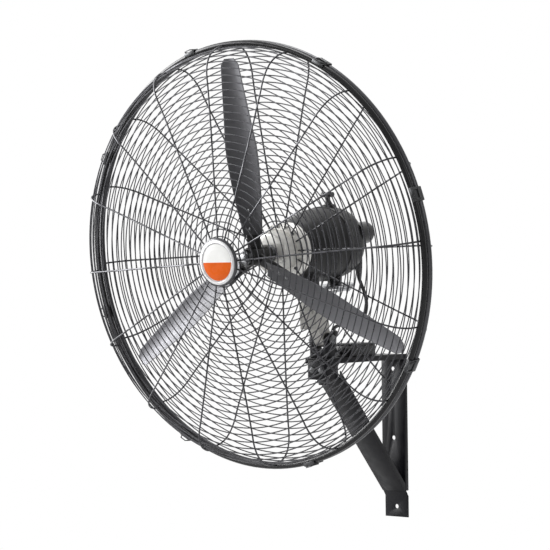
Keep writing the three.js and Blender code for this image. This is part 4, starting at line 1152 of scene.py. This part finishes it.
class FanMotor(bpy.types.Operator):
    """Adds the shells of the motor and the gear case"""
    bl_idname = "wall_fan.motor"
    bl_label = "Motor"

    def execute(self, context):
        enamel, light = finish_of("motor enamel"), finish_of("turned aluminium")
        nose = lathe(NOSE_PROFILE, LARGE)
        finished(nose, "motor_nose", "head", light, ["shaft_housing"], HEAD)
        bell = lathe(
            [(0, BELL_FRONT), (BELL_FACE - BELL_EDGE, BELL_FRONT),
             *shell_curve(BELL_FRONT + BELL_EDGE, BELL_REAR), (0, BELL_REAR)], LARGE,
        )
        finished(bell, "motor_bell", "head", enamel, ["front_bell"], HEAD)
        skirt = shell_curve(BELL_FRONT + CAP_EDGE, CAP_REAR)
        under = [(radius - CAP_SUNK, y) for radius, y in skirt]
        cap = lathe(
            [*under, *[(radius + CAP_WALL, y) for radius, y in reversed(skirt)],
             (BELL_FACE - CAP_EDGE, BELL_FRONT - CAP_SUNK), (NOSE_EDGE, BELL_FRONT - CAP_SUNK),
             (NOSE_EDGE, BELL_FRONT + CAP_SUNK), under[0]], LARGE,
        )
        finished(cap, "bell_cap", "head", light, place=HEAD)
        drum = lathe(
            [(0, BELL_REAR + SHELL_GAP), *shell_curve(BELL_REAR + SHELL_GAP, DRUM_SHOULDER),
             *FLANGE_PROFILE], LARGE,
        )
        boss = lathe(SWIVEL_BOSS_PROFILE, SMALL, "Z", SWIVEL_PLACE)
        finished(
            joined(drum, boss), "motor_drum", "head", enamel, ["motor_housing"], HEAD
        )
        straight = CASE_FRONT + CASE_LENGTH * CASE_FLAT
        turns = [math.pi / 2 * k / CASE_STEPS for k in range(1, CASE_STEPS + 1)]
        end = [
            (CASE_EDGE + CASE_ROUND * math.cos(turn), straight + CASE_BULGE * math.sin(turn))
            for turn in turns
        ]
        case = lathe(
            [*CASE_PROFILE, (CASE_EDGE + CASE_ROUND, straight), *end,
             (0, CASE_FRONT + CASE_LENGTH)], LARGE,
        )
        upper = lathe(KNOB_BOSS_PROFILE, SMALL, "Z", GEAR_PLACE)
        lower = lathe(CRANK_BOSS_PROFILE, SMALL, "Z", GEAR_PLACE)
        finished(
            joined(case, upper, lower), "gear_case_shell", "head", enamel,
            ["gear_case"], HEAD,
        )
        cover = lathe(COVER_PROFILE, LARGE)
        plastic = finish_of("black plastic")
        finished(cover, "gear_case_cover", "head", plastic, ["rear_cover"], HEAD)
        can = lathe(CAN_PROFILE, MEDIUM, "Y", CAN_PLACE)
        gloss = finish_of("gloss plastic")
        finished(can, "round_can", "head", gloss, ["capacitor_can"], HEAD)
        return {"FINISHED"}


# ---- pieces that keep their solid's form ----------------------------------------------------
EASED = (
    # body, slot, finish, bevel, nodes
    ("bracket", "bracket_paint", "bracket powder coat", 0.0008,
     ("wall_channel", "top_arm", "diagonal_brace")),
    ("bracket", "bracket_paint", "bracket powder coat", 0.0012, ("pivot_block",)),
    ("bracket", "bracket_paint", "bracket powder coat", 0.0010, ("tilt_fork",)),
    ("bracket", "zinc_steel", "dark steel", 0.0006,
     ("block_bolt_left", "block_bolt_right", "tilt_bolt", "tilt_nut", "fork_nut")),
    ("bracket", "black_plastic", "black plastic", 0.0015, ("junction_box",)),
    ("bracket", "black_plastic", "black plastic", 0.0010, ("junction_box_lid",)),
    ("bracket", "black_plastic", "black plastic", 0.0006, ("box_gland", "supply_gland")),
    ("neck", "cast_metal", "cast aluminium", 0.0012, ("neck_casting",)),
    ("neck", "zinc_steel", "zinc plate", 0.0004, ("link_anchor",)),
    ("neck", "black_plastic", "black plastic", 0.0005, ("cable_clip",)),
    ("head", "black_plastic", "black plastic", 0.0006, ("motor_gland",)),
    ("head", "guard_wire", "turned aluminium", 0.0004, ("guard_ring_plate",)),
    ("rotor", "zinc_steel", "zinc plate", 0.0005, ("motor_shaft",)),
    ("rotor", "zinc_steel", "dark steel", 0.0006, ("hub_nut",)),
    ("clutch", "black_plastic", "black plastic", 0.0008, ("clutch_knob",)),
    ("crank", "zinc_steel", "zinc plate", 0.0006, ("crank_disc",)),
    ("link", "zinc_steel", "zinc plate", 0.0005, ("link_rod",)),
)
REPAINTED = {
    "front_bearing": "zinc plate",
    "swivel_spindle": "zinc plate",
    "swivel_washer": "bearing nylon",
}
SCREW_RADIUS, LID_INSET = 0.0032, 0.006
LID_SCREW_HEIGHT, PLATE_SCREW_HEIGHT = 0.5 * SCREW_RADIUS, 0.6 * SCREW_RADIUS
PLATE_SCREWS = 4


def lid_screw_places():
    low, high = map(Vector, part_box("junction_box_lid"))
    upright = Matrix.Rotation(-math.pi / 2, 4, "X")
    return [
        Matrix.Translation((x, y, high.z)) @ upright
        for x in (low.x + LID_INSET, high.x - LID_INSET)
        for y in (low.y + LID_INSET, high.y - LID_INSET)
    ]


def plate_screw_places():
    low, high = head_box("guard_ring_plate")
    reach = (high.x + head_box("shaft_housing")[1].x) / 2
    turns = [FULL_TURN * (k + 0.5) / PLATE_SCREWS for k in range(PLATE_SCREWS)]
    return [
        Matrix.Translation((reach * math.sin(turn), low.y, reach * math.cos(turn)))
        for turn in turns
    ]


class FanFittings(bpy.types.Operator):
    """Eases the edges of the bracket, the neck and the small pieces, and repaints the rest"""
    bl_idname = "wall_fan.fittings"
    bl_label = "Bracket and fittings"

    def execute(self, context):
        for body, slot, finish, width, nodes in EASED:
            for node in nodes:
                piece = bevelled(from_solid(node), width)
                finished(piece, node + "_eased", body, finish_of(finish), [node])
        steel = finish_of("dark steel")
        screws = copies_at(round_head(SCREW_RADIUS, LID_SCREW_HEIGHT), lid_screw_places())
        finished(joined(*screws), "lid_screws", "bracket", steel)
        screws = copies_at(round_head(SCREW_RADIUS, PLATE_SCREW_HEIGHT), plate_screw_places())
        finished(joined(*screws), "ring_plate_screws", "head", steel, place=HEAD)
        for node, finish in REPAINTED.items():
            repaint(node, finish_of(finish))
        return {"FINISHED"}


class FanPanel(bpy.types.Panel):
    """Lists the pieces of the fan"""
    bl_idname = "WALLFAN_PT_pieces"
    bl_label = "Wall mounted fan"
    bl_space_type = "VIEW_3D"
    bl_region_type = "UI"
    bl_category = "Fan"

    def draw(self, context):
        for group in SETTINGS:
            settings = getattr(context.scene, group)
            box = self.layout.box()
            for name in settings.__annotations__:
                box.prop(settings, name)
        for operator in OPERATORS:
            self.layout.operator(operator.bl_idname)


OPERATORS = (
    FanStage, FanCables, FanGuards, FanRim, FanBadge, FanBlades, FanMotor, FanFittings,
)
SETTINGS = {"fan_guard": FanGuardSizes, "fan_blades": FanBladeSizes, "fan_colours": FanColours}


def register():
    for kind in (*SETTINGS.values(), *OPERATORS, FanPanel):
        bpy.utils.register_class(kind)
    for name, kind in SETTINGS.items():
        setattr(bpy.types.Scene, name, bpy.props.PointerProperty(type=kind))


def unregister():
    for name in SETTINGS:
        delattr(bpy.types.Scene, name)
    for kind in reversed((*SETTINGS.values(), *OPERATORS, FanPanel)):
        bpy.utils.unregister_class(kind)


def main():
    register()
    for operator in OPERATORS:
        group, call = operator.bl_idname.split(".")
        getattr(getattr(bpy.ops, group), call)()


if __name__ == "__main__":
    main()
